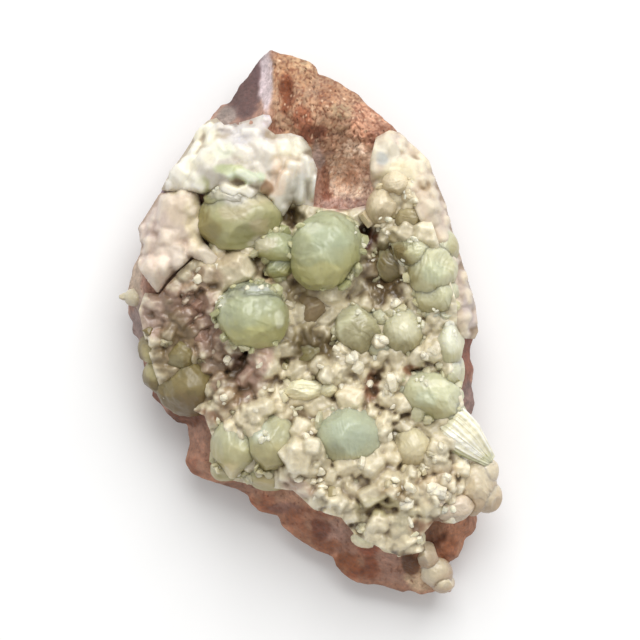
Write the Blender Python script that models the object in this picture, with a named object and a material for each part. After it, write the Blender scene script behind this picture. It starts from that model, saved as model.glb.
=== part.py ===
"""Prehnite balls and cream crystals on a loose piece of volcanic rock, lying on its broken back.

The tables hold millimetres. X and Y are measured in plan from the middle of the specimen, with +Y
towards the peak of the rock, and Z is measured up from the surface that the rock lies on.
"""

import math
import random

import bmesh
import bpy
import numpy as np
from mathutils import Euler, Vector, geometry, noise

MM = 0.001
GAP = 0.45  # room between neighbouring solids

# The rock
ROCK_OUTLINE = [
    (-6.5, 46.3), (-2.2, 45.0), (0.8, 43.4), (1.4, 41.9), (5.5, 40.4), (10.0, 36.6), (14.5, 33.0),
    (18.4, 28.4), (20.6, 25.0), (22.4, 20.3), (23.6, 15.4), (25.0, 10.2), (26.8, 5.3), (27.8, 1.0),
    (28.1, -2.2), (27.3, -5.0), (27.9, -8.0), (27.6, -10.5), (28.1, -13.5), (27.2, -17.5),
    (27.4, -22.0), (27.8, -27.0), (28.3, -31.5), (28.4, -35.0), (26.6, -37.0), (25.4, -40.0),
    (23.8, -41.2), (24.2, -44.5), (23.6, -46.0), (21.4, -45.7), (19.0, -46.4), (15.9, -46.1),
    (13.5, -45.2), (8.2, -44.4), (4.6, -41.6), (3.2, -39.4), (-1.0, -37.5), (-4.6, -34.7),
    (-5.4, -32.8), (-8.5, -32.0), (-10.4, -29.6), (-16.0, -27.4), (-20.0, -25.8), (-21.2, -23.8),
    (-20.4, -20.5), (-20.8, -17.3), (-23.0, -16.6), (-25.5, -13.6), (-26.6, -10.5), (-27.6, -6.5),
    (-28.8, -2.8), (-30.0, 0.0), (-30.6, 4.5), (-30.0, 9.4), (-28.2, 12.8), (-28.3, 16.4),
    (-26.7, 19.3), (-23.5, 25.0), (-20.3, 30.0), (-17.0, 34.1), (-14.8, 37.0), (-13.4, 37.4),
    (-10.2, 42.2),
]
# For each direction seen from the middle: angle in degrees, height of the rim, width of the flank
ROCK_FLANKS = [
    (-180, 8.0, 3.0), (-150, 7.5, 3.5), (-130, 6.5, 6.0), (-110, 6.0, 8.0), (-75, 6.0, 8.0),
    (-60, 6.5, 5.0), (-40, 8.0, 3.0), (-10, 9.0, 3.0), (20, 10.5, 2.5), (50, 11.0, 2.5),
    (80, 11.0, 4.0), (96, 10.5, 4.5), (103, 10.0, 6.5), (112, 10.0, 5.0), (125, 11.0, 3.0),
    (160, 9.0, 3.0), (180, 8.0, 3.0),
]
ROCK_FLOOR = 14.5
# Each swell or hollow of the rock's face: x, y, rise, half width along X and along Y
ROCK_SWELLS = [
    (-16.0, 27.0, 5.5, 11.0, 9.0), (2.0, 35.0, 6.0, 9.0, 6.0), (5.5, 23.8, -5.5, 3.8, 3.6),
    (20.0, 21.0, 6.0, 6.0, 12.0), (24.0, 4.0, 3.5, 5.0, 9.0), (-22.0, -8.0, -3.5, 7.0, 7.0),
    (-24.0, 12.0, 2.5, 7.0, 6.0), (9.0, -26.0, 1.5, 12.0, 7.0), (22.0, -36.0, -3.0, 3.0, 3.0),
    (-3.7, 38.7, -1.8, 1.0, 2.6), (20.0, -41.0, -2.0, 6.0, 5.0),
]
ROCK_CELL = 3.6
ROCK_LUMPS = ((1.1, 5.0, 0.0), (0.9, 1.9, 3.0))  # height, size and seed of the uneven face
ROCK_SEAT = 0.9  # how far the rock is sunk below the crust of small crystals
ROCK_UNDERCUT = ((1.0, 0.55), (4.2, 0.0))  # step inwards, share of the rim's height
SIDE_LUMP = 0.6  # how far the broken sides stray from that step
BLEND_WIDTH = 2.0  # over which the uneven face and the seat set in

# Nets, as shares of their cell
STRAY = 0.3
EDGE_SIDE = 1.3
ROW_SPACING = 0.87
CLEAR_OF_EDGE = 0.6
ROCK_SEED, CRYSTAL_SEED, SOCKET_SEED, SIDE_SEED = 4, 11, 12, 5

# The crusts: plan outline, thickness, width over which the edge rounds off, size of their net
WHITE_CRUST = [
    (-17.2, 34.1), (-15.6, 34.2), (-14.6, 32.0), (-12.3, 32.8), (-10.0, 34.2), (-7.5, 35.6),
    (-6.2, 35.0), (-6.1, 33.4), (-7.6, 32.2), (-6.6, 30.9), (-3.0, 31.3), (-1.0, 30.8), (0.1, 29.2),
    (0.5, 27.2), (1.2, 25.6), (0.7, 22.0), (0.5, 19.3), (-1.0, 19.0), (-2.8, 20.3), (-4.4, 18.0),
    (-6.0, 18.1), (-6.6, 22.4), (-9.0, 22.7), (-11.0, 23.6), (-13.5, 24.9), (-15.4, 24.2),
    (-17.8, 22.2), (-21.0, 22.6), (-25.0, 22.5), (-21.4, 28.2), (-19.0, 32.2),
]
LEFT_PLATE = [
    (-25.2, 21.6), (-21.0, 22.0), (-19.0, 21.4), (-18.1, 19.0), (-18.0, 14.0), (-17.0, 12.4),
    (-19.0, 11.3), (-21.6, 9.2), (-23.8, 7.0), (-25.4, 4.9), (-26.6, 6.4), (-28.6, 9.4),
    (-28.2, 12.8), (-28.9, 16.0), (-27.2, 18.6),
]
RIGHT_CRUST = [
    (11.2, 30.8), (15.0, 31.7), (17.2, 30.1), (20.1, 27.1), (21.9, 22.4), (23.3, 17.9), (24.7, 12.9),
    (27.3, 5.3), (28.0, 2.6), (28.5, -1.5), (27.8, -2.6), (25.4, -2.4), (25.1, 3.5), (23.5, 9.0),
    (21.8, 15.0), (20.3, 17.4), (18.5, 24.3), (15.5, 25.4), (12.0, 25.0), (10.4, 27.0),
]
CRUSTS = [
    ("white_crust", WHITE_CRUST, 4.8, 2.6, 2.7),
    ("left_plate", LEFT_PLATE, 5.2, 2.2, 2.7),
    ("right_crust", RIGHT_CRUST, 3.2, 1.8, 2.7),
]
CRUST_EDGE = 0.4  # share of the thickness that the edge keeps
CRUST_LUMPS = (0.9, 3.5, 7.0)  # height, size and seed
CRUST_ROOT = 2.6  # how far a crust reaches into the rock before the rock is cut from it

# Balls and lobes: centre x, y, z, half sizes x, y, z, turn in degrees about Z, fineness
LOBES = {
    "upper_ball": [
        (-12.0, 17.3, 17.8, 7.2, 6.0, 7.0, 0, 3), (-12.8, 21.0, 20.6, 4.2, 2.8, 3.4, -12, 2),
    ],
    "centre_balls": [
        (2.7, 11.9, 20.2, 6.0, 6.7, 7.2, 0, 3), (-5.6, 12.5, 18.6, 4.4, 2.8, 5.0, -8, 2),
    ],
    "left_ball": [
        (-9.6, 0.8, 20.0, 6.3, 5.5, 6.6, 0, 3), (-9.4, 4.4, 19.2, 4.9, 2.9, 5.4, 0, 2),
    ],
    "lower_ball": [(6.5, -19.0, 17.0, 5.9, 5.1, 6.6, 0, 3)],
    "dome_ball": [(20.5, -12.2, 16.6, 5.0, 3.5, 6.0, -12, 2), (17.6, -12.0, 15.4, 2.6, 2.6, 4.6, 0, 2)],
    "right_balls": [
        (8.4, -1.2, 17.0, 4.3, 4.3, 5.4, 0, 2), (15.9, -1.4, 17.6, 3.5, 4.1, 5.2, 0, 2),
        (12.2, -4.4, 16.0, 2.8, 2.4, 4.2, 0, 2),
    ],
    "ridge_plates": [
        (17.9, 11.4, 18.6, 3.6, 2.9, 6.0, -40, 2), (20.2, 8.6, 18.8, 3.5, 4.0, 6.4, -15, 2),
        (21.6, 4.9, 18.0, 3.2, 3.3, 5.6, -25, 2), (14.3, 9.6, 15.4, 4.2, 4.0, 4.2, 0, 2),
    ],
    "column_ball": [
        (23.3, -3.2, 16.2, 2.3, 4.3, 5.2, 0, 2), (20.8, 1.3, 17.2, 1.7, 1.6, 4.2, 0, 1),
        (22.8, 1.4, 17.0, 1.6, 1.6, 4.4, 0, 1),
    ],
    "lower_left_balls": [
        (-6.6, -20.5, 15.2, 4.3, 5.9, 6.2, 0, 2), (-12.3, -20.4, 13.6, 3.9, 5.9, 6.2, 0, 2),
        (-14.3, -25.2, 11.0, 2.1, 1.8, 3.2, 0, 1), (-6.0, -26.0, 12.4, 3.2, 2.9, 3.6, 0, 2),
    ],
    "lower_small_ball": [(7.0, -27.4, 14.0, 4.1, 3.4, 4.8, 0, 2)],
    "middle_upper_ball": [(0.3, 2.5, 14.8, 3.3, 4.0, 4.2, 0, 2)],
    "middle_lower_ball": [(0.0, -5.4, 13.8, 5.5, 3.6, 4.8, 0, 2)],
    "shaded_balls": [
        (-20.5, -11.0, 11.0, 5.4, 4.8, 6.0, 0, 2), (-21.5, -5.4, 11.8, 3.7, 3.7, 5.0, 0, 2),
        (-26.3, -4.4, 9.6, 2.7, 2.7, 3.6, 0, 2), (-25.8, -9.0, 9.0, 2.4, 3.0, 3.6, 0, 2),
    ],
    "olive_ball": [(17.0, 17.4, 18.6, 3.2, 2.7, 4.6, 0, 2)],
    "edge_fingers": [
        (27.9, -27.8, 11.8, 3.4, 4.2, 3.4, 0, 2), (30.0, -25.2, 12.8, 1.9, 2.2, 3.0, 0, 2),
        (30.3, -29.2, 12.2, 2.1, 3.2, 3.2, 0, 2),
    ],
    "pearl_lobe": [(23.9, -31.1, 14.4, 4.0, 2.4, 3.6, 8, 2)],
    "cream_mass": [
        (11.0, -33.2, 14.0, 3.5, 2.3, 3.8, 0, 2), (14.0, -36.2, 13.0, 4.3, 2.9, 3.9, -10, 2),
        (17.6, -36.2, 13.2, 2.0, 1.9, 3.0, 0, 1),
    ],
    "corner_knobs": [
        (19.6, -39.8, 11.0, 1.9, 2.8, 3.4, 0, 1), (21.0, -41.8, 9.8, 1.9, 2.2, 3.0, 0, 1),
        (22.6, -43.9, 8.6, 2.2, 2.2, 3.2, 0, 2),
    ],
    "middle_cushion": [
        (-0.6, -11.2, 15.6, 4.4, 2.2, 4.6, 4, 2), (3.2, -11.0, 15.6, 2.2, 2.0, 4.4, 0, 1),
        (-0.2, -14.8, 14.4, 2.6, 2.2, 3.2, 0, 1),
    ],
    "lower_right_lobes": [
        (17.4, -21.0, 15.6, 4.0, 3.8, 4.6, 0, 2), (13.0, -24.2, 15.0, 2.5, 2.7, 4.2, 0, 2),
    ],
    "upper_right_knobs": [
        (12.2, 19.2, 19.0, 2.5, 3.1, 4.6, -20, 2), (14.4, 23.0, 19.4, 2.4, 2.4, 4.6, 0, 2),
        (16.6, 21.4, 19.4, 1.9, 1.9, 4.2, 0, 1),
    ],
    "mauve_lumps": [
        (-18.0, 3.2, 13.8, 2.6, 2.9, 4.4, 25, 2), (-17.3, -2.2, 13.6, 2.6, 2.9, 4.4, 0, 2),
        (-21.8, 3.2, 13.0, 2.2, 2.2, 3.8, 0, 1), (-17.8, 0.6, 14.4, 2.3, 2.3, 3.0, 0, 1),
    ],
    "left_tips": [(-29.4, 4.2, 9.8, 1.9, 1.6, 2.4, 0, 1), (-30.8, 4.4, 9.6, 1.5, 0.8, 1.1, 0, 1)],
}
LOBE_UNEVENNESS = 0.05
LEVEL_ANGLE = math.radians(3)  # faces that meet at less than this are joined
SOCKET_ROOM = 0.4  # room between a lobe and the crystals round it

# The fan of white blades: its root, the middle of its tips, half widths, heights and thickness
FAN_ROOT = (22.3, -16.9, 19.2)
FAN_TIP = (29.0, -22.4, 16.4)
FAN_HALF_WIDTHS = (2.2, 3.3)
FAN_BLADES = 6
FAN_ROWS = 4
FAN_CREST = 2.6
FAN_ARCH = 0.8  # share of a half wave from root to tips
FAN_DROOP = 1.2  # how far its long edges hang
FAN_JAGS = (0.12, -0.1)  # how much further the ribs and the outer blades reach
FAN_RELIEF = 0.5
FAN_THICKNESS = 5.0
FAN_TAPER = 0.55

# The crust of small crystals between the balls
DRUSE_OUTLINE = [
    (-9.0, 20.0), (-4.5, 20.5), (0.0, 19.5), (3.0, 19.0), (7.0, 19.0), (10.4, 19.8), (11.6, 23.0),
    (12.4, 24.6), (15.4, 24.6), (17.8, 23.8), (19.6, 19.0), (21.4, 13.5), (23.2, 8.0), (24.6, 3.0),
    (25.0, -9.0), (26.2, -15.0), (27.0, -24.0), (26.8, -32.0), (24.5, -33.8), (21.0, -33.2),
    (19.0, -35.5), (19.6, -38.4), (15.0, -39.2), (7.6, -35.6), (5.4, -32.6), (1.0, -31.4),
    (-2.6, -28.2), (-10.0, -27.4), (-15.8, -26.0), (-16.0, -20.0), (-17.5, -15.6), (-24.6, -12.8),
    (-27.3, -4.0), (-28.6, 2.0), (-27.6, 5.0), (-25.0, 4.8), (-21.5, 8.8), (-17.5, 12.0),
]
FLOOR_THICKNESS = 1.2
DRUSE_CELL = 2.4
CLOSEST_CORNERS = 0.45
SOCKET_CELL = 4.6  # size of the crust's net where a lobe hides it
SOCKET_INSET = 0.25
COARSE_FROM_EDGE = 0.4
LINING_LIFT = 1.3 * GAP
DRUSE_RISE = (0.6, 2.6)
DRUSE_TILT = 0.35
CRYSTAL_BEVEL = (0.15, 0.35)
TALL_REACH = 0.7
PAIRING = 0.7  # radians: how bent and how skewed a pair of triangles may be that makes one cell
NARROWEST_CRYSTAL = 0.5  # twice the plan area over the length round it
# Crystals that stand out of the crust: x, y, height above it
TALL_CRYSTALS = [
    (9.5, 22.0, 2.2), (12.6, 15.0, 2.0), (14.4, 4.2, 2.6), (11.0, 4.5, 1.8), (9.6, 8.8, 1.8),
    (2.4, -8.2, 3.6), (5.0, -9.2, 3.4), (5.2, -5.8, 2.4), (7.8, -6.6, 3.0), (8.6, -11.0, 3.0),
    (12.6, -11.6, 2.8), (15.0, -9.0, 3.4), (19.4, -5.6, 3.2), (13.8, -15.9, 3.6), (12.6, -18.6, 3.2),
    (-0.6, -18.6, 4.0), (0.9, -20.9, 4.8), (-1.8, -22.0, 4.2), (0.6, -24.0, 3.6), (-1.6, -25.0, 2.8),
    (1.7, -28.4, 3.2), (3.6, -31.0, 2.2), (13.6, -27.2, 2.8), (17.2, -27.2, 3.6), (15.0, -29.4, 2.4),
    (20.8, -28.8, 2.6), (23.2, -26.6, 3.0), (21.4, -22.4, 3.2), (16.2, -31.4, 2.2), (-13.9, -12.6, 3.4),
    (-7.8, -7.0, 3.4), (-13.4, -5.8, 2.6), (-16.2, 8.6, 3.2), (-18.6, 7.4, 2.6), (-12.2, 9.6, 3.0),
    (-9.8, -15.2, 2.4), (-23.6, 0.4, 2.0), (-7.8, -12.0, 2.6), (9.0, -15.0, 2.4), (10.0, -23.0, 2.0),
]
# Dark gaps where the crust is thin: x, y
GAP_REACH = 1.3
GAPS = [(10.2, 14.4), (-2.5, 17.8), (-11.0, -5.4), (-12.3, -9.6), (10.2, -12.0), (14.2, -18.6), (12.0, 8.8)]

COLOURS = {
    "matrix": (0.30, 0.17, 0.14), "white_crust": (0.75, 0.71, 0.64), "left_plate": (0.62, 0.51, 0.44),
    "right_crust": (0.62, 0.52, 0.44), "druse": (0.66, 0.58, 0.42), "blade_fan": (0.80, 0.79, 0.62),
    "edge_fingers": (0.62, 0.52, 0.36), "pearl_lobe": (0.62, 0.52, 0.42), "cream_mass": (0.66, 0.61, 0.42),
    "left_tips": (0.66, 0.62, 0.54), "shaded_balls": (0.32, 0.30, 0.15),
    "middle_upper_ball": (0.32, 0.27, 0.17), "middle_lower_ball": (0.32, 0.30, 0.17),
    "corner_knobs": (0.62, 0.52, 0.40), "middle_cushion": (0.72, 0.68, 0.46), "mauve_lumps": (0.50, 0.36, 0.29),
    "lower_right_lobes": (0.62, 0.58, 0.40), "upper_right_knobs": (0.62, 0.60, 0.42),
}
PREHNITE_GREEN = (0.47, 0.52, 0.31)
ROUGHNESS = {"matrix": 0.85, "white_crust": 0.5, "left_plate": 0.6, "right_crust": 0.6}
CRYSTAL_ROUGHNESS = 0.3

# Offsets and joins
SAME_CORNER = 0.01
LEAST_BEND = 0.1  # bends flatter than this, as a share of the sharpest, don't move a corner
FURTHEST_MOVE = 2 * GAP


def clear_scene():
    for obj in list(bpy.data.objects):
        bpy.data.objects.remove(obj, do_unlink=True)


def inside_distance(x, y, outline):
    """Distance from each point to the outline, positive inside it."""
    start = np.array(outline, float)
    step = np.roll(start, -1, axis=0) - start
    from_start = np.stack([x, y], -1)[..., None, :] - start
    along = np.clip((from_start * step).sum(-1) / (step ** 2).sum(-1), 0, 1)
    nearest = np.linalg.norm(from_start - along[..., None] * step, axis=-1).min(-1)
    up = from_start[..., 1]
    spans = (up < 0) != (up - step[:, 1] < 0)
    rise = np.where(step[:, 1] == 0, 1, step[:, 1])
    left = from_start[..., 0] < step[:, 0] * up / rise
    return np.where((spans & left).sum(-1) % 2 == 1, nearest, -nearest)


def uneven(x, y, size, seed=0.0):
    """Smooth noise between about -1 and 1, with lumps of the given size."""
    return np.array([noise.noise(Vector((a / size, b / size, seed))) for a, b in zip(x, y)])


def rock_top(x, y):
    """Height of the rock's upper face: swells and hollows, which fall to the rim over the flank."""
    face = np.full(len(x), ROCK_FLOOR)
    for middle_x, middle_y, rise, wide, long in ROCK_SWELLS:
        face += rise * np.exp(-((x - middle_x) / wide) ** 2 - ((y - middle_y) / long) ** 2)
    angles, rims, widths = zip(*ROCK_FLANKS)
    direction = np.degrees(np.arctan2(y, x))
    rim = np.interp(direction, angles, rims)
    width = np.interp(direction, angles, widths)
    share = np.clip(inside_distance(x, y, ROCK_OUTLINE) / width, -0.2, 1)
    return rim + (face - rim) * share


def divided(outline, length):
    """The outline with further corners, so that its sides are about as long as asked at most."""
    edge = []
    for start, end in zip(outline, outline[1:] + outline[:1]):
        pieces = max(1, round(math.dist(start, end) / length))
        edge += [Vector(start).lerp(Vector(end), i / pieces) for i in range(pieces)]
    return edge


def net_of_triangles(outline, cell, seed, covered=None):
    """Points and triangles that fill the outline, about one cell apart and coarser where covered."""
    edge = divided(outline, EDGE_SIDE * cell)
    low = np.min(outline, axis=0)
    high = np.max(outline, axis=0)
    draw = random.Random(seed)
    inner = []
    even = []
    for row, y in enumerate(np.arange(low[1], high[1], cell * ROW_SPACING)):
        for column, x in enumerate(np.arange(low[0] + cell / 2 * (row % 2), high[0], cell)):
            inner.append((x + draw.uniform(-STRAY, STRAY) * cell, y + draw.uniform(-STRAY, STRAY) * cell))
            even.append(row % 2 == 0 and column % 2 == 0)
    inner = np.array(inner)
    kept = inside_distance(*inner.T, outline) > CLEAR_OF_EDGE * cell
    if covered:
        kept &= np.array(even) | (inside_distance(*inner.T, covered) < STRAY * cell)
    inner = inner[kept]
    points = edge + [Vector(p) for p in inner]
    loop = [list(range(len(edge)))]
    points, _, triangles, *_ = geometry.delaunay_2d_cdt(points, [], loop, 1, 1e-6)
    return np.array([tuple(p) for p in points]), [list(t) for t in triangles]


def edge_loop(triangles):
    """The net's outer corners in order, anticlockwise."""
    steps = {(a, b) for t in triangles for a, b in zip(t, t[1:] + t[:1])}
    following = {a: b for a, b in steps if (b, a) not in steps}
    loop = [min(following)]
    while following[loop[-1]] != loop[0]:
        loop.append(following[loop[-1]])
    return loop


def new_object(name, points, faces):
    """A mesh object from points in millimetres, with its faces turned outwards."""
    bm = bmesh.new()
    verts = [bm.verts.new([c * MM for c in p]) for p in points]
    for face in faces:
        bm.faces.new([verts[i] for i in face])
    return object_of(bm, name)


def object_of(bm, name):
    """An object from the edit mesh, in flat triangles that face outwards."""
    bmesh.ops.triangulate(bm, faces=bm.faces)
    bmesh.ops.recalc_face_normals(bm, faces=bm.faces)
    mesh = bpy.data.meshes.new(name)
    bm.to_mesh(mesh)
    bm.free()
    obj = bpy.data.objects.new(name, mesh)
    bpy.context.collection.objects.link(obj)
    return obj


def make_rock():
    """The upper face is a net of flat facets, and the sides step in to the flat back at Z = 0."""
    plan, triangles = net_of_triangles(ROCK_OUTLINE, ROCK_CELL, ROCK_SEED, covered=DRUSE_OUTLINE)
    x, y = plan.T
    inside = np.clip(inside_distance(x, y, ROCK_OUTLINE) / BLEND_WIDTH, 0, 1)
    lined = np.clip(inside_distance(x, y, DRUSE_OUTLINE) / BLEND_WIDTH, 0, 1)
    lumps = sum(height * uneven(x, y, size, seed) for height, size, seed in ROCK_LUMPS)
    top = rock_top(x, y) + inside * (1 - lined) * lumps - ROCK_SEAT * lined
    points = [(*p, z) for p, z in zip(plan, top)]
    loop = edge_loop(triangles)
    faces = list(triangles)
    ring = loop
    draw = random.Random(SIDE_SEED)
    for inset, share in ROCK_UNDERCUT:
        start = len(points)
        for corner in loop:
            away = Vector(plan[corner])
            moved = away * (1 - (inset + draw.uniform(-SIDE_LUMP, SIDE_LUMP)) / away.length)
            points.append((moved.x, moved.y, top[corner] * share))
        lower = list(range(start, len(points)))
        for i in range(len(loop)):
            j = (i + 1) % len(loop)
            faces.append([ring[i], ring[j], lower[j], lower[i]])
        ring = lower
    faces.append(ring[::-1])
    rock = new_object("matrix", points, faces)
    join_level_faces(rock)
    return rock


def make_crust(name, outline, thickness, soft, cell):
    """A sheet on the rock whose top rounds off at its outline."""
    plan, triangles = net_of_triangles(outline, cell, name)
    x, y = plan.T
    inner = 1 - np.clip(inside_distance(x, y, outline) / soft, 0, 1)
    rounded = CRUST_EDGE + (1 - CRUST_EDGE) * np.sqrt(1 - inner ** 2)
    height, size, seed = CRUST_LUMPS
    rise = thickness * rounded + (1 - inner) * height * uneven(x, y, size, seed)
    return make_sheet(name, plan, triangles, rise)


def make_sheet(name, plan, triangles, rise):
    """A closed sheet over a net, which rises above the rock and is rooted in it."""
    bed = rock_top(*plan.T)
    points = [(*p, z) for p, z in zip(plan, bed + rise)] + [(*p, z) for p, z in zip(plan, bed - CRUST_ROOT)]
    lower = len(plan)
    faces = triangles + [[lower + i for i in reversed(t)] for t in triangles]
    loop = edge_loop(triangles)
    for i, j in zip(loop, loop[1:] + loop[:1]):
        faces.append([j, i, lower + i, lower + j])
    return new_object(name, points, faces)


def make_lobe(x, y, z, half_x, half_y, half_z, turn, fineness):
    """One rounded lobe: a ball of flat facets, stretched to its half sizes and a little uneven."""
    bm = bmesh.new()
    bmesh.ops.create_icosphere(bm, subdivisions=fineness, radius=1)
    spin = Euler((0, 0, math.radians(turn)))
    for vert in bm.verts:
        out = vert.co.normalized()
        swell = 1 + LOBE_UNEVENNESS * noise.noise(out * 2 + Vector((x, y, z)))
        place = Vector((out.x * half_x, out.y * half_y, out.z * half_z)) * swell
        place.rotate(spin)
        vert.co = (place + Vector((x, y, z))) * MM
    return object_of(bm, "lobe")


def make_fan():
    """A ribbed wedge: ribs run from the root to jagged tips, and the back follows the front."""
    root, tip = Vector(FAN_ROOT), Vector(FAN_TIP)
    across = (tip - root).to_2d().orthogonal().normalized().to_3d()
    columns = 2 * FAN_BLADES + 1
    points = []
    for drop in (0, FAN_THICKNESS):
        for row in range(FAN_ROWS):
            share = row / (FAN_ROWS - 1)
            half = FAN_HALF_WIDTHS[0] + (FAN_HALF_WIDTHS[1] - FAN_HALF_WIDTHS[0]) * share
            for column in range(columns):
                side = 2 * column / (columns - 1) - 1
                rib = column % 2
                reach = share + (FAN_JAGS[0] * rib + FAN_JAGS[1] * side ** 2) * share
                place = root.lerp(tip, reach) + across * side * half
                crown = FAN_CREST * math.sin(math.pi * share * FAN_ARCH) - FAN_DROOP * side ** 2
                narrow = drop * (1 - FAN_TAPER * share)
                points.append((place.x, place.y, place.z + crown + FAN_RELIEF * rib * share - narrow))
    back = FAN_ROWS * columns
    faces = []
    for row in range(FAN_ROWS - 1):
        for column in range(columns - 1):
            a = row * columns + column
            quad = [a, a + 1, a + columns + 1, a + columns]
            faces += [quad, [back + i for i in reversed(quad)]]
    rim = [column for column in range(columns)]
    rim += [row * columns + columns - 1 for row in range(1, FAN_ROWS)]
    rim += [(FAN_ROWS - 1) * columns + column for column in range(columns - 2, -1, -1)]
    rim += [row * columns for row in range(FAN_ROWS - 2, 0, -1)]
    for a, b in zip(rim, rim[1:] + rim[:1]):
        faces.append([a, b, back + b, back + a])
    return new_object("blade_fan", points, faces)


def all_lobes():
    return [lobe for lobes in LOBES.values() for lobe in lobes]


def socket_of(x, y, z, half_x, half_y, half_z, turn, fineness):
    """Plan outline of the place that a lobe takes in the crust, with a little room round it."""
    sides = max(6, round(half_x + half_y))
    widen = (1 + LOBE_UNEVENNESS) / math.cos(math.pi / sides)
    corners = []
    for i in range(sides):
        angle = 2 * math.pi * i / sides
        place = Vector((math.cos(angle) * (half_x * widen + SOCKET_ROOM),
                        math.sin(angle) * (half_y * widen + SOCKET_ROOM), 0))
        place.rotate(Euler((0, 0, math.radians(turn))))
        corners.append((x + place.x, y + place.y))
    return corners


def strewn(cell, seed):
    """Points over the hollow, about one cell apart and none in a row."""
    low = np.min(DRUSE_OUTLINE, axis=0)
    high = np.max(DRUSE_OUTLINE, axis=0)
    grid = np.stack(np.meshgrid(np.arange(low[0], high[0], cell), np.arange(low[1], high[1], cell)), -1)
    strays = np.random.default_rng(seed).uniform(-STRAY, STRAY, grid.shape)
    return (grid + strays * cell).reshape(-1, 2)


def triangles_in_hollow(points, edges, sockets):
    """Triangles over the hollow that keep to the given edges, and which of them lie in no socket."""
    border = divided(DRUSE_OUTLINE, SOCKET_CELL)
    first = len(border)
    corners = border + [Vector(p) for p in points]
    edges = [(first + a, first + b) for a, b in edges]
    plan, _, triangles, *_ = geometry.delaunay_2d_cdt(corners, edges, [list(range(first))], 1, 1e-6)
    plan = np.array([tuple(p) for p in plan])
    middle = plan[np.array(triangles)].mean(axis=1)
    lined = np.nonzero(inside_distance(*middle.T, DRUSE_OUTLINE) > 0)[0]
    free = np.max([inside_distance(*middle[lined].T, loop) for loop in sockets], axis=0) < 0
    return plan, [triangles[i] for i in lined], free


def druse_net():
    """A net over the hollow: fine between the sockets, whose outlines it keeps to, and coarse in them."""
    sockets = [socket_of(*lobe) for lobe in all_lobes()]
    points = []
    edges = []
    for loop in sockets:
        edges += [(len(points) + i, len(points) + (i + 1) % len(loop)) for i in range(len(loop))]
        points += loop
    loops = sockets + [DRUSE_OUTLINE]
    fine = strewn(DRUSE_CELL, CRYSTAL_SEED)
    depth = np.array([inside_distance(*fine.T, loop) for loop in loops])
    clear = (depth[:-1].max(axis=0) < -STRAY * DRUSE_CELL) & (depth[-1] > STRAY * DRUSE_CELL)
    plan, triangles, free = triangles_in_hollow(points + fine[clear].tolist(), edges, sockets)
    crystals = [triangle for triangle, is_free in zip(triangles, free) if is_free]
    coarse = strewn(SOCKET_CELL, SOCKET_SEED)
    depth = np.array([inside_distance(*coarse.T, loop) for loop in loops])
    in_socket = depth[:-1].max(axis=0) > SOCKET_INSET * SOCKET_CELL
    inner = in_socket & (depth[-1] > COARSE_FROM_EDGE * SOCKET_CELL)
    kept = sorted({i for triangle in crystals for i in triangle})
    place = {old: new for new, old in enumerate(kept)}
    edges = {(place[a], place[b]) for t in crystals for a, b in zip(t, t[1:] + t[:1])}
    return triangles_in_hollow(plan[kept].tolist() + coarse[inner].tolist(), sorted(edges), sockets)


def druse_floor():
    """The even floor of the crust as an open net, and the set of its cells that carry crystals."""
    plan, triangles, free = druse_net()
    floor = rock_top(*plan.T) + FLOOR_THICKNESS
    bm = bmesh.new()
    upper = [bm.verts.new((x * MM, y * MM, z * MM)) for (x, y), z in zip(plan, floor)]
    faces = [bm.faces.new([upper[i] for i in triangle]) for triangle in triangles]
    bmesh.ops.delete(bm, geom=[vert for vert in upper if not vert.link_faces], context="VERTS")
    bmesh.ops.remove_doubles(bm, verts=bm.verts, dist=CLOSEST_CORNERS * MM)
    bm.normal_update()
    return bm, {face for face, is_free in zip(faces, free) if is_free and face.is_valid}


def thicken(bm):
    """Closes an open net downwards, as far as the crust's roots reach."""
    root = bmesh.ops.extrude_face_region(bm, geom=bm.faces[:], use_keep_orig=True)["geom"]
    for vert in [v for v in root if isinstance(v, bmesh.types.BMVert)]:
        vert.co.z -= (FLOOR_THICKNESS + CRUST_ROOT) * MM


def make_druse():
    """The crust that lines the hollow: an even floor, whose clear cells rise as flat-topped crystals."""
    bm, clear = druse_floor()
    thicken(bm)
    joined = bmesh.ops.join_triangles(
        bm, faces=list(clear), angle_face_threshold=PAIRING, angle_shape_threshold=PAIRING
    )["faces"]
    clear = {face for face in clear | set(joined) if face.is_valid}
    draw = random.Random(CRYSTAL_SEED)
    for face in sorted(clear, key=lambda face: face.calc_center_median().to_tuple(6)):
        raise_crystal(bm, face, draw)
    return object_of(bm, "druse")


def make_lining():
    """The room that the crust takes under the balls: its floor, raised and widened by one gap."""
    bm, _ = druse_floor()
    moves = {}
    for vert in [vert for vert in bm.verts if vert.is_boundary]:
        outward = []
        for edge in [edge for edge in vert.link_edges if edge.is_boundary]:
            along = (edge.verts[1].co - edge.verts[0].co).xy.orthogonal().normalized()
            inner = edge.link_faces[0].calc_center_median() - edge.verts[0].co
            outward.append(along if along.dot(inner.xy) < 0 else -along)
        moves[vert] = sum(outward, Vector((0, 0))) / (1 + outward[0].dot(outward[1]))
    for vert, move in moves.items():
        vert.co.xy += move * GAP * MM
    for vert in bm.verts:
        vert.co.z += LINING_LIFT * MM
    thicken(bm)
    return object_of(bm, "lining")


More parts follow.
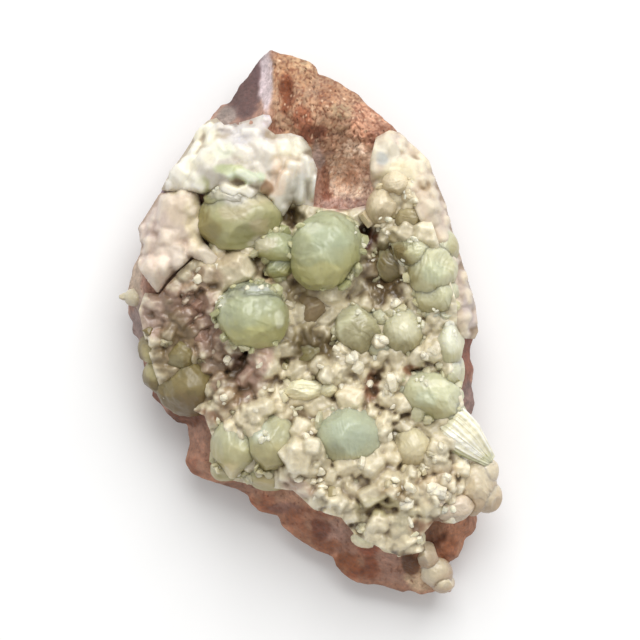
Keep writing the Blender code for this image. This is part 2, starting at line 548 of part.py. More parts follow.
def raise_crystal(bm, face, draw):
    """Raises one cell as a flat-topped crystal, unless it is narrow, hollow or in a dark gap."""
    narrow = 2 * face.calc_area() / face.calc_perimeter() < NARROWEST_CRYSTAL * MM
    in_gap = any(math.dist(gap, face.calc_center_median().xy / MM) < GAP_REACH for gap in GAPS)
    if narrow or in_gap or not all(loop.is_convex for loop in face.loops):
        return
    bmesh.ops.inset_individual(bm, faces=[face], thickness=draw.uniform(*CRYSTAL_BEVEL) * MM)
    rise = crystal_height(face.calc_center_median() / MM, draw.uniform(*DRUSE_RISE))
    tilt = Vector((draw.uniform(-DRUSE_TILT, DRUSE_TILT), draw.uniform(-DRUSE_TILT, DRUSE_TILT)))
    middle = face.calc_center_median()
    for vert in face.verts:
        vert.co.z += rise * MM + tilt.dot((vert.co - middle).to_2d())


def crystal_height(place, usual):
    """How far the cell at this place rises: a tall crystal's height near one, or else the usual."""
    reach = TALL_REACH * DRUSE_CELL
    for x, y, height in TALL_CRYSTALS:
        if math.dist((x, y), place[:2]) < reach:
            return height
    return usual


def combine(obj, other, operation):
    """Joins the other object to this one, or cuts it from this one, and keeps the result as a mesh."""
    modifier = obj.modifiers.new(operation.lower(), "BOOLEAN")
    modifier.operation = operation
    modifier.object = other
    modifier.solver = "EXACT"
    graph = bpy.context.evaluated_depsgraph_get()
    result = bpy.data.meshes.new_from_object(obj.evaluated_get(graph))
    obj.modifiers.clear()
    obj.data = result


def swollen(obj):
    """A copy whose corners are moved so that the faces round each stand one gap outside the object's."""
    bm = bmesh.new()
    bm.from_mesh(obj.data)
    bmesh.ops.remove_doubles(bm, verts=bm.verts, dist=SAME_CORNER * MM)
    bm.normal_update()
    moves = []
    for vert in bm.verts:
        normals = np.array([face.normal for face in vert.link_faces])
        move = np.linalg.lstsq(normals, np.full(len(normals), GAP * MM), rcond=LEAST_BEND)[0]
        moves.append(Vector(move * min(1, FURTHEST_MOVE * MM / np.linalg.norm(move))))
    for vert, move in zip(bm.verts, moves):
        vert.co += move
    return object_of(bm, "swollen")


def box_of(obj):
    corners = np.array([v.co for v in obj.data.vertices])
    return corners.min(axis=0), corners.max(axis=0)


def near(first, second):
    low_a, high_a = box_of(first)
    low_b, high_b = box_of(second)
    return bool((low_a < high_b).all() and (low_b < high_a).all())


def carve(obj, cutters):
    """Cuts the neighbours' swollen copies from the object."""
    for cutter in cutters:
        if near(obj, cutter):
            combine(obj, cutter, "DIFFERENCE")
    keep_main_body(obj)


def body_volume(verts):
    """Volume inside a closed set of faces, as the sum of the cones from the origin to each face."""
    faces = {face for vert in verts for face in vert.link_faces}
    return sum(face.calc_area() * face.normal.dot(face.verts[0].co) for face in faces) / 3


def keep_main_body(obj):
    """Removes the crumbs that a cut leaves beside the largest body."""
    bm = bmesh.new()
    bm.from_mesh(obj.data)
    left = set(bm.verts)
    bodies = []
    while left:
        body = {left.pop()}
        grown = list(body)
        while grown:
            vert = grown.pop()
            beside = {e.other_vert(vert) for e in vert.link_edges} & left
            left -= beside
            body |= beside
            grown += beside
        bodies.append(body)
    bodies.sort(key=body_volume)
    bmesh.ops.delete(bm, geom=[v for body in bodies[:-1] for v in body], context="VERTS")
    bm.to_mesh(obj.data)
    bm.free()


def join_level_faces(obj):
    """Joins neighbouring faces that lie almost in one plane, such as those that a cut leaves."""
    bm = bmesh.new()
    bm.from_mesh(obj.data)
    bmesh.ops.dissolve_limit(bm, angle_limit=LEVEL_ANGLE, verts=bm.verts, edges=bm.edges)
    bmesh.ops.triangulate(bm, faces=bm.faces)
    bm.to_mesh(obj.data)
    bm.free()


def give_material(obj):
    """A plain finish in the sub-part's own colour."""
    material = bpy.data.materials.new(obj.name)
    material.use_nodes = True
    shader = material.node_tree.nodes["Principled BSDF"]
    colour = COLOURS.get(obj.name, PREHNITE_GREEN)
    shader.inputs["Base Color"].default_value = (*colour, 1)
    shader.inputs["Roughness"].default_value = ROUGHNESS.get(obj.name, CRYSTAL_ROUGHNESS)
    shader.inputs["Metallic"].default_value = 0
    obj.data.materials.clear()
    obj.data.materials.append(material)


def make_lobes(name, lobes):
    """Lobes grown together, joined in one solid."""
    first, *others = [make_lobe(*lobe) for lobe in lobes]
    first.name = name
    for other in others:
        combine(first, other, "UNION")
        bpy.data.objects.remove(other)
    return first


def larger_lobe(x, y, z, half_x, half_y, half_z, turn, fineness):
    return make_lobe(x, y, z, half_x + GAP, half_y + GAP, half_z + GAP, turn, fineness)


def main():
    clear_scene()
    solids = [make_rock()]
    cutters = [swollen(solids[0])]
    for crust in CRUSTS:
        obj = make_crust(*crust)
        grown = swollen(obj)
        carve(obj, cutters)
        join_level_faces(obj)
        solids.append(obj)
        cutters.append(grown)
    sheets = list(cutters)
    cutters.append(make_lining())
    for name, lobes in LOBES.items():
        obj = make_lobes(name, lobes)
        carve(obj, cutters)
        join_level_faces(obj)
        solids.append(obj)
        cutters += [larger_lobe(*lobe) for lobe in lobes]
    fan = make_fan()
    grown = swollen(fan)
    carve(fan, cutters)
    join_level_faces(fan)
    druse = make_druse()
    carve(druse, sheets + [grown])
    for helper in cutters + [grown]:
        bpy.data.objects.remove(helper)
    for obj in solids + [fan, druse]:
        give_material(obj)


main()
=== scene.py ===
# %% [markdown]
# # Prehnite on volcanic rock
# This lesson dresses a hand specimen: pale green balls of prehnite and hundreds of small cream crystals,
# grown in a hollow of a reddish purple rock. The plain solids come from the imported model, and each of
# them gets a finished form here, worked out with numpy, and a material made of nodes.

# %% The frame
import math

import bmesh
import bpy
import numpy as np
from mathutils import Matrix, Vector


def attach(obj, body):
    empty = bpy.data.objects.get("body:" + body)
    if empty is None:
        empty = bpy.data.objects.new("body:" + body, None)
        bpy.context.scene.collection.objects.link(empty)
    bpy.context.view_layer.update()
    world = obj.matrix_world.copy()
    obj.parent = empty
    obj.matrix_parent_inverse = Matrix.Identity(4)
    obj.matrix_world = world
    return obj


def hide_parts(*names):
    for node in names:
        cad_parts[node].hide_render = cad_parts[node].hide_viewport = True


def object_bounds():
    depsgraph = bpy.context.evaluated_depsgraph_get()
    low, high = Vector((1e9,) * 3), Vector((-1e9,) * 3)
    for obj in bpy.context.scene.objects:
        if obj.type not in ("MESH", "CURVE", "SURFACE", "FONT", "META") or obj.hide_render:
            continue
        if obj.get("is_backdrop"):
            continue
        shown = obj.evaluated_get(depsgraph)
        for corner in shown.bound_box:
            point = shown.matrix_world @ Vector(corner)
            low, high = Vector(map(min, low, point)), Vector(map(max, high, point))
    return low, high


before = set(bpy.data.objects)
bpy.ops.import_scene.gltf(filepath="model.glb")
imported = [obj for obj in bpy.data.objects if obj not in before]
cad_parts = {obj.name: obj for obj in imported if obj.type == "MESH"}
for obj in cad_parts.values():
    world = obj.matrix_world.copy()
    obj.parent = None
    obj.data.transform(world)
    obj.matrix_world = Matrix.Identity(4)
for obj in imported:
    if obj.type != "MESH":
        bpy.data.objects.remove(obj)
solid_low, solid_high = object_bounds()
MM = 0.001
size = (solid_high - solid_low) / MM
print(f"{len(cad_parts)} solids, {size.x:.1f} x {size.y:.1f} x {size.z:.1f} mm")

# %% [markdown]
# ## Noise
# Nothing on a mineral is even, so the first tool is noise. Blender has its own noise for one point at a
# time. A version in numpy works on all points of a mesh at once, which is far quicker. It gives every
# corner of a 3-D lattice a fixed random number and blends smoothly between the eight nearest ones.

# %% Smooth noise
def corner_numbers(corners, seed):
    """A fixed number from 0 to 1 for each whole-numbered corner: its coordinates times large primes,
    mixed together bit by bit."""
    n = corners[..., 0] * 73856093 ^ corners[..., 1] * 19349663 ^ corners[..., 2] * 83492791 ^ seed * 6971
    n = (n ^ (n >> 13)) * 1274126177 & 0x7FFFFFFF
    n = (n ^ (n >> 15)) * 1911520717 & 0x7FFFFFFF
    return ((n ^ (n >> 11)) & 0xFFFFFF) / 0xFFFFFF


def waves(points, size, seed=0):
    """Noise from -1 to 1 with lumps of the given size: the sum of the eight corner numbers round each
    point, each weighted by how near the point is to it."""
    place = points / size
    low = np.floor(place).astype(np.int64)
    part = place - low
    part = part * part * (3 - 2 * part)
    total = np.zeros(len(points))
    for corner in np.ndindex(2, 2, 2):
        weight = np.where(corner, part, 1 - part).prod(axis=1)
        total += weight * corner_numbers(low + np.array(corner), seed)
    return 2 * total - 1


def rough(points, size, octaves=3, seed=0):
    """Waves of the given size, plus waves of half that size at half the height, and so on."""
    return sum(waves(points, size / 2 ** i, seed + i) / 2 ** i for i in range(octaves))


def grains(points, size, seed=0):
    """Each cell of a lattice holds one seed. Returns the distance to the nearest seed and to the second
    nearest, in cells, and the nearest seed's own number from 0 to 1."""
    place = points / size
    low = np.floor(place).astype(np.int64)
    first = np.full(len(points), 9.0)
    second = first.copy()
    number = np.zeros(len(points))
    for step in np.ndindex(3, 3, 3):
        cell = low + np.array(step) - 1
        spot = cell + np.stack([corner_numbers(cell, seed + k) for k in (1, 2, 3)], -1)
        away = np.linalg.norm(spot - place, axis=1)
        closer = away < first
        second = np.where(closer, first, np.minimum(second, away))
        number = np.where(closer, corner_numbers(cell, seed + 4), number)
        first = np.where(closer, away, first)
    return first, second, number


def smooth_step(value, low, high):
    """0 below low, 1 above high, and an even S curve between them."""
    t = np.clip((value - low) / (high - low), 0, 1)
    return t * t * (3 - 2 * t)


def on_plan(x, y):
    """Plan places as points at height zero."""
    return np.column_stack([x, y, 0 * x])


def bell(x, y, middle_x, middle_y, wide, long):
    """1 at the middle, falling to 0 over the given half width and half length."""
    return np.exp(-((x - middle_x) / wide) ** 2 - ((y - middle_y) / long) ** 2)


print("noise of three points:", waves(np.array([[0.2, 0.4, 0.6], [3.1, 0, 2], [7, 7.5, 7]]), 1.0).round(2))

# %% [markdown]
# ## From points to a mesh
# Each form below ends as one closed skin: a first point, rings of points round it, and a last point.
# `closed_rings` joins them with quads, and fans of triangles close both ends. The volume inside tells
# whether the faces look outwards, and if they don't they are all turned round.

# %% Closed skins
def volume(points, quads, tris):
    """Sum of the cones from the origin to each triangle."""
    all_tris = np.concatenate([tris, quads[:, :3], quads[:, [0, 2, 3]]])
    return np.linalg.det(points[all_tris]).sum() / 6


def closed_rings(first, rings, last):
    """Quads join corner (i, j) to (i, j+1), (i+1, j+1) and (i+1, j). The first and last point each
    carry a fan."""
    count, around = rings.shape[:2]
    points = np.concatenate([[first], rings.reshape(-1, 3), [last]])
    i, j = np.meshgrid(np.arange(count - 1), np.arange(around), indexing="ij")
    k = (j + 1) % around
    quads = 1 + np.stack([i * around + j, i * around + k, (i + 1) * around + k, (i + 1) * around + j], -1)
    quads = quads.reshape(-1, 4)
    a = np.arange(around)
    b = (a + 1) % around
    end = 1 + (count - 1) * around
    top = np.stack([np.zeros(around, int), b + 1, a + 1], -1)
    bottom = np.stack([np.full(around, len(points) - 1), end + a, end + b], -1)
    tris = np.concatenate([top, bottom])
    if volume(points, quads, tris) < 0:
        quads = quads[:, ::-1]
        tris = tris[:, ::-1]
    return points, quads, tris


def joined(skins):
    """Several skins as one set of points, quads and triangles."""
    starts = np.cumsum([0] + [len(points) for points, _, _ in skins])
    points = np.concatenate([skin[0] for skin in skins])
    quads = np.concatenate([skin[1] + start for skin, start in zip(skins, starts)])
    tris = np.concatenate([skin[2] + start for skin, start in zip(skins, starts)])
    return points, quads, tris


def linear(colour):
    """A colour as read on a screen, 0 to 255, as the amounts of light that Blender works with."""
    c = np.asarray(colour, float) / 255
    return np.where(c <= 0.04045, c / 12.92, ((c + 0.055) / 1.055) ** 2.4)


def piece(name, skin, tint, material, slot, *solids, smooth=True):
    """The mesh object of one finished piece. Its points are given in millimetres, and its colours from
    0 to 255 for each point become the attribute that the material reads."""
    points, quads, tris = skin
    mesh = bpy.data.meshes.new(name)
    corners = np.concatenate([quads.ravel(), tris.ravel()]).astype(np.int32)
    sizes = np.concatenate([np.full(len(quads), 4), np.full(len(tris), 3)])
    starts = np.concatenate([[0], np.cumsum(sizes)[:-1]]).astype(np.int32)
    mesh.vertices.add(len(points))
    mesh.vertices.foreach_set("co", (points * MM).astype(np.float32).ravel())
    mesh.loops.add(len(corners))
    mesh.loops.foreach_set("vertex_index", corners)
    mesh.polygons.add(len(sizes))
    mesh.polygons.foreach_set("loop_start", starts)
    mesh.update(calc_edges=True)
    mesh.polygons.foreach_set("use_smooth", np.full(len(sizes), smooth))
    colours = np.ones((len(points), 4), np.float32)
    colours[:, :3] = linear(np.clip(tint, 0, 255))
    mesh.attributes.new("tint", "FLOAT_COLOR", "POINT").data.foreach_set("color", colours.ravel())
    mesh.materials.append(material)
    obj = bpy.data.objects.new(name, mesh)
    bpy.context.scene.collection.objects.link(obj)
    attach(obj, "root")
    if solids:
        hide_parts(*solids)
    print(f"{name}: {2 * len(quads) + len(tris)} triangles, {volume(*skin) / 1000:.2f} ml")
    return obj

# %% [markdown]
# ## Painting by zones
# Rock and crusts change colour from place to place. A zone is a soft oval in plan with a colour and a
# strength. Painting them one after the other on a base colour is like washes of paint, and it gives a
# colour for each point of the mesh.

# %% Zones of colour
def mixed(tint, other, share):
    """The tint, moved towards the other colour by a share, which may differ from point to point."""
    return np.asarray(tint, float) + np.asarray(share)[..., None] * (np.asarray(other, float) - tint)


def painted(points, base, zones):
    """The base colour, with each zone (x, y, half width, half length, colour, strength) laid over it.
    A zone's cover falls off as a bell curve, and noise frays its edge."""
    tint = np.broadcast_to(np.asarray(base, float), (len(points), 3))
    fray = 0.35 * rough(points, 2.2, 3, 50)
    for x, y, wide, long, colour, strength in zones:
        away = ((points[:, 0] - x) / wide) ** 2 + ((points[:, 1] - y) / long) ** 2
        cover = smooth_step(np.exp(-away) + fray * np.exp(-away / 3), 0.18, 0.62)
        tint = mixed(tint, colour, strength * cover)
    return tint


def mottled(tint, points, size, amount, seed):
    """The tint made lighter and darker in lumps of the given size."""
    return tint * (1 + amount * rough(points, size, 3, seed))[:, None]


print("half way from black to white:", mixed((0, 0, 0), (255, 255, 255), 0.5))

# %% [markdown]
# ## Height of the rock
# The rock's upper face is a height over the plan. It starts from a level, swells and sinks in bell curves,
# and falls to the rim over a flank. The other pieces sit on it, so they ask the same function.

# %% Rock tables
ROCK_OUTLINE = np.array([
    (-6.5, 46.3), (-2.2, 45.0), (0.8, 43.4), (1.4, 41.9), (5.5, 40.4), (10.0, 36.6), (14.5, 33.0),
    (18.4, 28.4), (20.6, 25.0), (22.4, 20.3), (23.6, 15.4), (25.0, 10.2), (26.8, 5.3), (27.8, 1.0),
    (28.1, -2.2), (27.3, -5.0), (27.9, -8.0), (27.6, -10.5), (28.1, -13.5), (27.2, -17.5),
    (27.4, -22.0), (27.8, -27.0), (28.3, -31.5), (28.4, -35.0), (26.6, -37.0), (25.4, -40.0),
    (23.8, -41.2), (24.2, -44.5), (23.6, -46.0), (21.4, -45.7), (19.0, -46.4), (15.9, -46.1),
    (13.5, -45.2), (8.2, -44.4), (4.6, -41.6), (3.2, -39.4), (-1.0, -37.5), (-4.6, -34.7),
    (-5.4, -32.8), (-8.5, -32.0), (-10.4, -29.6), (-16.0, -27.4), (-20.0, -25.8), (-21.2, -23.8),
    (-20.4, -20.5), (-20.8, -17.3), (-23.0, -16.6), (-25.5, -13.6), (-26.6, -10.5), (-27.6, -6.5),
    (-28.8, -2.8), (-30.0, 0.0), (-30.6, 4.5), (-30.0, 9.4), (-28.2, 12.8), (-28.3, 16.4),
    (-26.7, 19.3), (-23.5, 25.0), (-20.3, 30.0), (-17.0, 34.1), (-14.8, 37.0), (-13.4, 37.4),
    (-10.2, 42.2),
])
# Direction from the middle in degrees, height of the rim, width of the flank
ROCK_FLANKS = np.array([
    (-180, 8.0, 3.0), (-150, 7.5, 3.5), (-130, 6.5, 6.0), (-110, 6.0, 8.0), (-75, 6.0, 8.0),
    (-60, 6.5, 5.0), (-40, 8.0, 3.0), (-10, 9.0, 3.0), (20, 10.5, 2.5), (50, 11.0, 2.5),
    (80, 11.0, 4.0), (96, 10.5, 4.5), (103, 10.0, 6.5), (112, 10.0, 5.0), (125, 11.0, 3.0),
    (160, 9.0, 3.0), (180, 8.0, 3.0),
])
ROCK_LEVEL = 14.5
# x, y, rise, half width, half length
ROCK_SWELLS = [
    (-16.0, 27.0, 5.5, 11.0, 9.0), (2.0, 35.0, 6.0, 9.0, 6.0), (5.5, 23.8, -5.5, 3.8, 3.6),
    (20.0, 21.0, 6.0, 6.0, 12.0), (24.0, 4.0, 3.5, 5.0, 9.0), (-22.0, -8.0, -3.5, 7.0, 7.0),
    (-24.0, 12.0, 2.5, 7.0, 6.0), (9.0, -26.0, 1.5, 12.0, 7.0), (22.0, -36.0, -3.0, 3.0, 3.0),
    (-3.7, 38.7, -1.8, 1.0, 2.6), (20.0, -41.0, -2.0, 6.0, 5.0),
]
print("corners of the rock's outline:", len(ROCK_OUTLINE), "swells:", len(ROCK_SWELLS))

# %% [markdown]
# The height depends on how far a place is from the outline, so one function measures that for all outlines.

# %% Height function
def inside(x, y, outline):
    """Distance of each point to the outline, positive inside it: the shortest distance to its sides,
    with the sign from how many sides a line to the right of the point crosses."""
    outline = np.asarray(outline, float)
    step = np.roll(outline, -1, axis=0) - outline
    rise = np.where(step[:, 1] == 0, 1, step[:, 1])
    found = []
    for block in np.array_split(np.stack([x, y], -1), max(1, len(x) // 20000)):
        away = block[:, None, :] - outline
        along = np.clip((away * step).sum(-1) / (step ** 2).sum(-1), 0, 1)
        nearest = np.linalg.norm(away - along[..., None] * step, axis=-1).min(-1)
        spans = (away[..., 1] < 0) != (away[..., 1] - step[:, 1] < 0)
        left = away[..., 0] < step[:, 0] * away[..., 1] / rise
        found.append(np.where((spans & left).sum(-1) % 2 == 1, nearest, -nearest))
    return np.concatenate(found)


def rock_top(x, y):
    """The level plus all swells, blended down to the rim over the width of the flank."""
    face = np.full(len(x), ROCK_LEVEL)
    for middle_x, middle_y, rise, wide, long in ROCK_SWELLS:
        face += rise * bell(x, y, middle_x, middle_y, wide, long)
    turn = np.degrees(np.arctan2(y, x))
    rim = np.interp(turn, ROCK_FLANKS[:, 0], ROCK_FLANKS[:, 1])
    width = np.interp(turn, ROCK_FLANKS[:, 0], ROCK_FLANKS[:, 2])
    share = np.clip(inside(x, y, ROCK_OUTLINE) / width, -0.2, 1)
    return rim + (face - rim) * share


def soft_top(x, y, reach):
    """The mean of the rock's height at the point and at eight points round it, which rounds its creases."""
    turns = np.arange(8) * math.pi / 4
    around = [rock_top(x + reach * math.cos(turn), y + reach * math.sin(turn)) for turn in turns]
    return (rock_top(x, y) + sum(around)) / 9


# The part of the rock that small crystals cover
HOLLOW_OUTLINE = np.array([
    (-9.0, 20.0), (-4.5, 20.5), (0.0, 19.5), (3.0, 19.0), (7.0, 19.0), (10.4, 19.8), (11.6, 23.0),
    (12.4, 24.6), (15.4, 24.6), (17.8, 23.8), (19.6, 19.0), (21.4, 13.5), (23.2, 8.0), (24.6, 3.0),
    (25.0, -9.0), (26.2, -15.0), (27.0, -24.0), (26.8, -32.0), (24.5, -33.8), (21.0, -33.2),
    (19.0, -35.5), (19.6, -38.4), (15.0, -39.2), (7.6, -35.6), (5.4, -32.6), (1.0, -31.4),
    (-2.6, -28.2), (-10.0, -27.4), (-15.8, -26.0), (-16.0, -20.0), (-17.5, -15.6), (-24.6, -12.8),
    (-27.3, -4.0), (-28.6, 2.0), (-27.6, 5.0), (-25.0, 4.8), (-21.5, 8.8), (-17.5, 12.0),
])
print("height of the rock at its peak, in the pit and in the hollow:",
      rock_top(np.array([2.0, 5.5, 0.0]), np.array([35.0, 23.8, 0.0])).round(1))

# %% [markdown]
# ## Rock
# The rock is a broken piece of lava. Seen from above, every place of its face can be reached on a straight
# line from the middle, so it is drawn with spokes: a spoke runs from the middle over the face to the rim,
# down the broken side and back under the flat base to the middle. The rim follows a finely read outline.

# %% Slabs drawn with spokes
def smooth_loop(outline, count):
    """The outline as evenly spaced points, each the mean of itself and its neighbours."""
    closed = np.concatenate([outline, outline[:1]])
    length = np.concatenate([[0], np.cumsum(np.linalg.norm(np.diff(closed, axis=0), axis=1))])
    at = np.arange(count) / count * length[-1]
    loop = np.stack([np.interp(at, length, closed[:, k]) for k in (0, 1)], -1)
    return sum(np.roll(loop, shift, axis=0) for shift in (-1, 0, 1)) / 3


def frayed(loop, amount, size, seed):
    """The loop moved outwards and inwards by noise."""
    step = np.roll(loop, -1, axis=0) - np.roll(loop, 1, axis=0)
    out = np.stack([-step[:, 1], step[:, 0]], -1) / np.linalg.norm(step, axis=1)[:, None]
    return loop + out * (amount * rough(on_plan(*loop.T), size, 3, seed))[:, None]


def spokes(middle, loop, shares):
    """Plan places on the lines from the middle to the loop, one ring for each share of the way."""
    return middle + np.asarray(shares)[:, None, None] * (loop - middle)


def on_rings(rings, height):
    """Adds to each plan place of the rings the height that the function gives there."""
    x, y = rings.reshape(-1, 2).T
    return np.concatenate([rings, height(x, y).reshape(*rings.shape[:2], 1)], axis=2)


# %% Edges on the rock
ROCK_EDGE = np.array([
    (-6.5, 46.3), (-5.0, 45.6), (-2.2, 45.0), (0.0, 44.2), (1.1, 43.2), (1.5, 41.9), (3.0, 41.6),
    (5.5, 40.4), (8.0, 38.8), (10.0, 36.6), (12.4, 34.7), (14.4, 32.9), (16.6, 30.2), (18.4, 28.4),
    (20.6, 25.0), (22.4, 20.3), (23.6, 15.4), (25.0, 10.2), (26.8, 5.3), (27.8, 1.0), (27.9, -2.2),
    (27.3, -4.0), (27.3, -6.0), (27.9, -8.0), (27.6, -10.5), (28.1, -13.5), (27.2, -17.5),
    (27.4, -22.0), (27.8, -27.0), (28.2, -31.5), (28.6, -33.2), (28.4, -35.0), (27.6, -36.3),
    (26.4, -37.0), (25.5, -40.0), (23.8, -40.9), (24.1, -42.0), (24.4, -43.7), (24.2, -46.0),
    (21.6, -45.8), (19.1, -46.4), (17.0, -45.6), (15.9, -46.1), (13.5, -45.2), (11.0, -44.7),
    (8.0, -44.4), (6.5, -43.4), (4.6, -41.6), (4.1, -40.0), (3.2, -39.4), (1.0, -38.9), (-1.0, -37.5),
    (-3.0, -36.2), (-4.6, -34.7), (-5.2, -32.9), (-8.5, -32.1), (-10.0, -30.8), (-10.4, -29.6),
    (-12.5, -28.4), (-16.0, -27.4), (-20.0, -25.8), (-21.2, -23.8), (-20.4, -20.5), (-20.8, -17.3),
    (-22.5, -17.1), (-24.3, -15.2), (-25.5, -13.6), (-26.9, -12.4), (-26.6, -11.3), (-27.5, -10.2),
    (-28.1, -7.5), (-28.9, -4.5), (-29.1, -2.6), (-30.1, -1.8), (-30.0, 0.0), (-30.9, 1.4),
    (-30.8, 4.3), (-30.6, 6.0), (-30.2, 8.0), (-29.8, 9.6), (-28.1, 12.8), (-28.3, 16.0), (-27.6, 17.8),
    (-26.6, 19.5), (-25.0, 22.4), (-23.5, 25.0), (-21.5, 27.5), (-20.3, 30.0), (-19.0, 32.4),
    (-17.0, 34.1), (-14.8, 37.0), (-13.6, 37.1), (-11.8, 40.0), (-10.0, 42.4), (-8.6, 44.4),
])
BREAK_FACE = [
    (-13.6, 37.3), (-8.4, 45.0), (-7.9, 40.5), (-7.8, 37.0), (-8.4, 35.8), (-10.4, 34.6), (-13.2, 35.0),
]
RUST_FIELD = [
    (-6.5, 46.5), (2.0, 45.0), (11.0, 37.5), (15.8, 31.6), (12.4, 30.8), (10.6, 29.6), (9.8, 27.0),
    (11.4, 24.0), (9.6, 19.0), (5.0, 18.2), (1.0, 19.6), (1.6, 24.0), (2.6, 28.6), (0.0, 30.6), (-2.5, 31.4),
    (-7.9, 31.8), (-6.4, 33.2), (-5.9, 38.0), (-6.6, 44.0),
]
print("corners of the finely read edge:", len(ROCK_EDGE))

# %% [markdown]
# The rusty field at the top is a crust of cracked lumps. The break at its left is smooth. The side of the
# rock is uneven, and the base has shallow hollows.

# %% Rock form
def rust_lumps(flat):
    """Cells of 1.25 mm with bent sides: each point's distance to its cell's edge, and the cell's number."""
    bend = np.stack([waves(flat, 0.9, k) for k in (1, 2, 3)], -1)
    near, far, number = grains(flat + 0.35 * bend, 1.25, 5)
    return far - near, number


def rock_relief(x, y):
    """The rock's height with its grain: coarse and fine waves, weak on the smooth break face, and in
    the rusty field small cracked lumps whose edges are cut in."""
    base = rock_top(x, y)
    flat = np.stack([x, y, 0.6 * base], -1)
    lined = smooth_step(inside(x, y, HOLLOW_OUTLINE), 0.0, 2.0)
    smooth_face = smooth_step(inside(x, y, BREAK_FACE), -0.6, 0.6)
    rusty = smooth_step(inside(x, y, RUST_FIELD), -0.8, 1.0)
    edge = smooth_step(inside(x, y, ROCK_EDGE), 0.0, 1.6)
    relief = 0.7 * rough(flat, 5.0, 2, 3) + 0.32 * rough(flat, 1.5, 3, 9)
    gap, number = rust_lumps(flat)
    lumps = 0.45 * smooth_step(gap, 0.02, 0.3) + 0.45 * number - 0.5
    relief = relief * (1 - 0.85 * smooth_face) + rusty * lumps
    return base + (0.25 + 0.75 * edge) * relief - 1.2 * lined


def rock_form():
    """Spokes over the face, down the side, which steps in towards the base, and back under the base."""
    middle = np.array([0.5, -1.0])
    loop = frayed(smooth_loop(ROCK_EDGE, 820), 0.14, 1.6, 21)
    shares = np.concatenate([np.linspace(0.03, 0.45, 12, endpoint=False), np.linspace(0.45, 1, 74)])
    face = on_rings(spokes(middle, loop, shares), rock_relief)
    rim = face[-1]
    out = (loop - middle) / np.linalg.norm(loop - middle, axis=1)[:, None]
    side = []
    for down in np.linspace(0.06, 1, 17):
        z = rim[:, 2] * (1 - down)
        place = np.concatenate([loop, z[:, None]], axis=1)
        inset = 0.9 * down + 3.2 * smooth_step(down, 0.45, 1.0)
        inset = inset + np.sin(math.pi * down) * (0.9 + 0.8 * rough(place, 4.5, 3, 31)) * 0.9
        inset = np.maximum(inset, 0.15)
        side.append(np.concatenate([loop - out * inset[:, None], z[:, None]], axis=1))
    base = side[-1][:, :2]
    under = on_rings(spokes(middle, base, np.linspace(0.93, 0.08, 14)), base_pits)
    rings = np.concatenate([face, np.array(side), under])
    first = (*middle, rock_relief(*middle[:, None])[0])
    return closed_rings(first, rings, (*middle, 0.3))


def base_pits(x, y):
    """Shallow hollows in the flat broken base, which otherwise lies at zero."""
    return 0.5 * np.maximum(0, rough(on_plan(x, y), 4.0, 3, 41))


rock_skin = rock_form()
print("rock points:", len(rock_skin[0]))

# %% [markdown]
# The rock is reddish brown, orange where it has rusted at the top, and dark mauve on the smooth break.
# Purple and pink patches lie on the lower band, with dark grit between them. The cracks between the rusty
# lumps are dark and pale dust lies on the lumps, so the paint asks for the same lumps as the form.

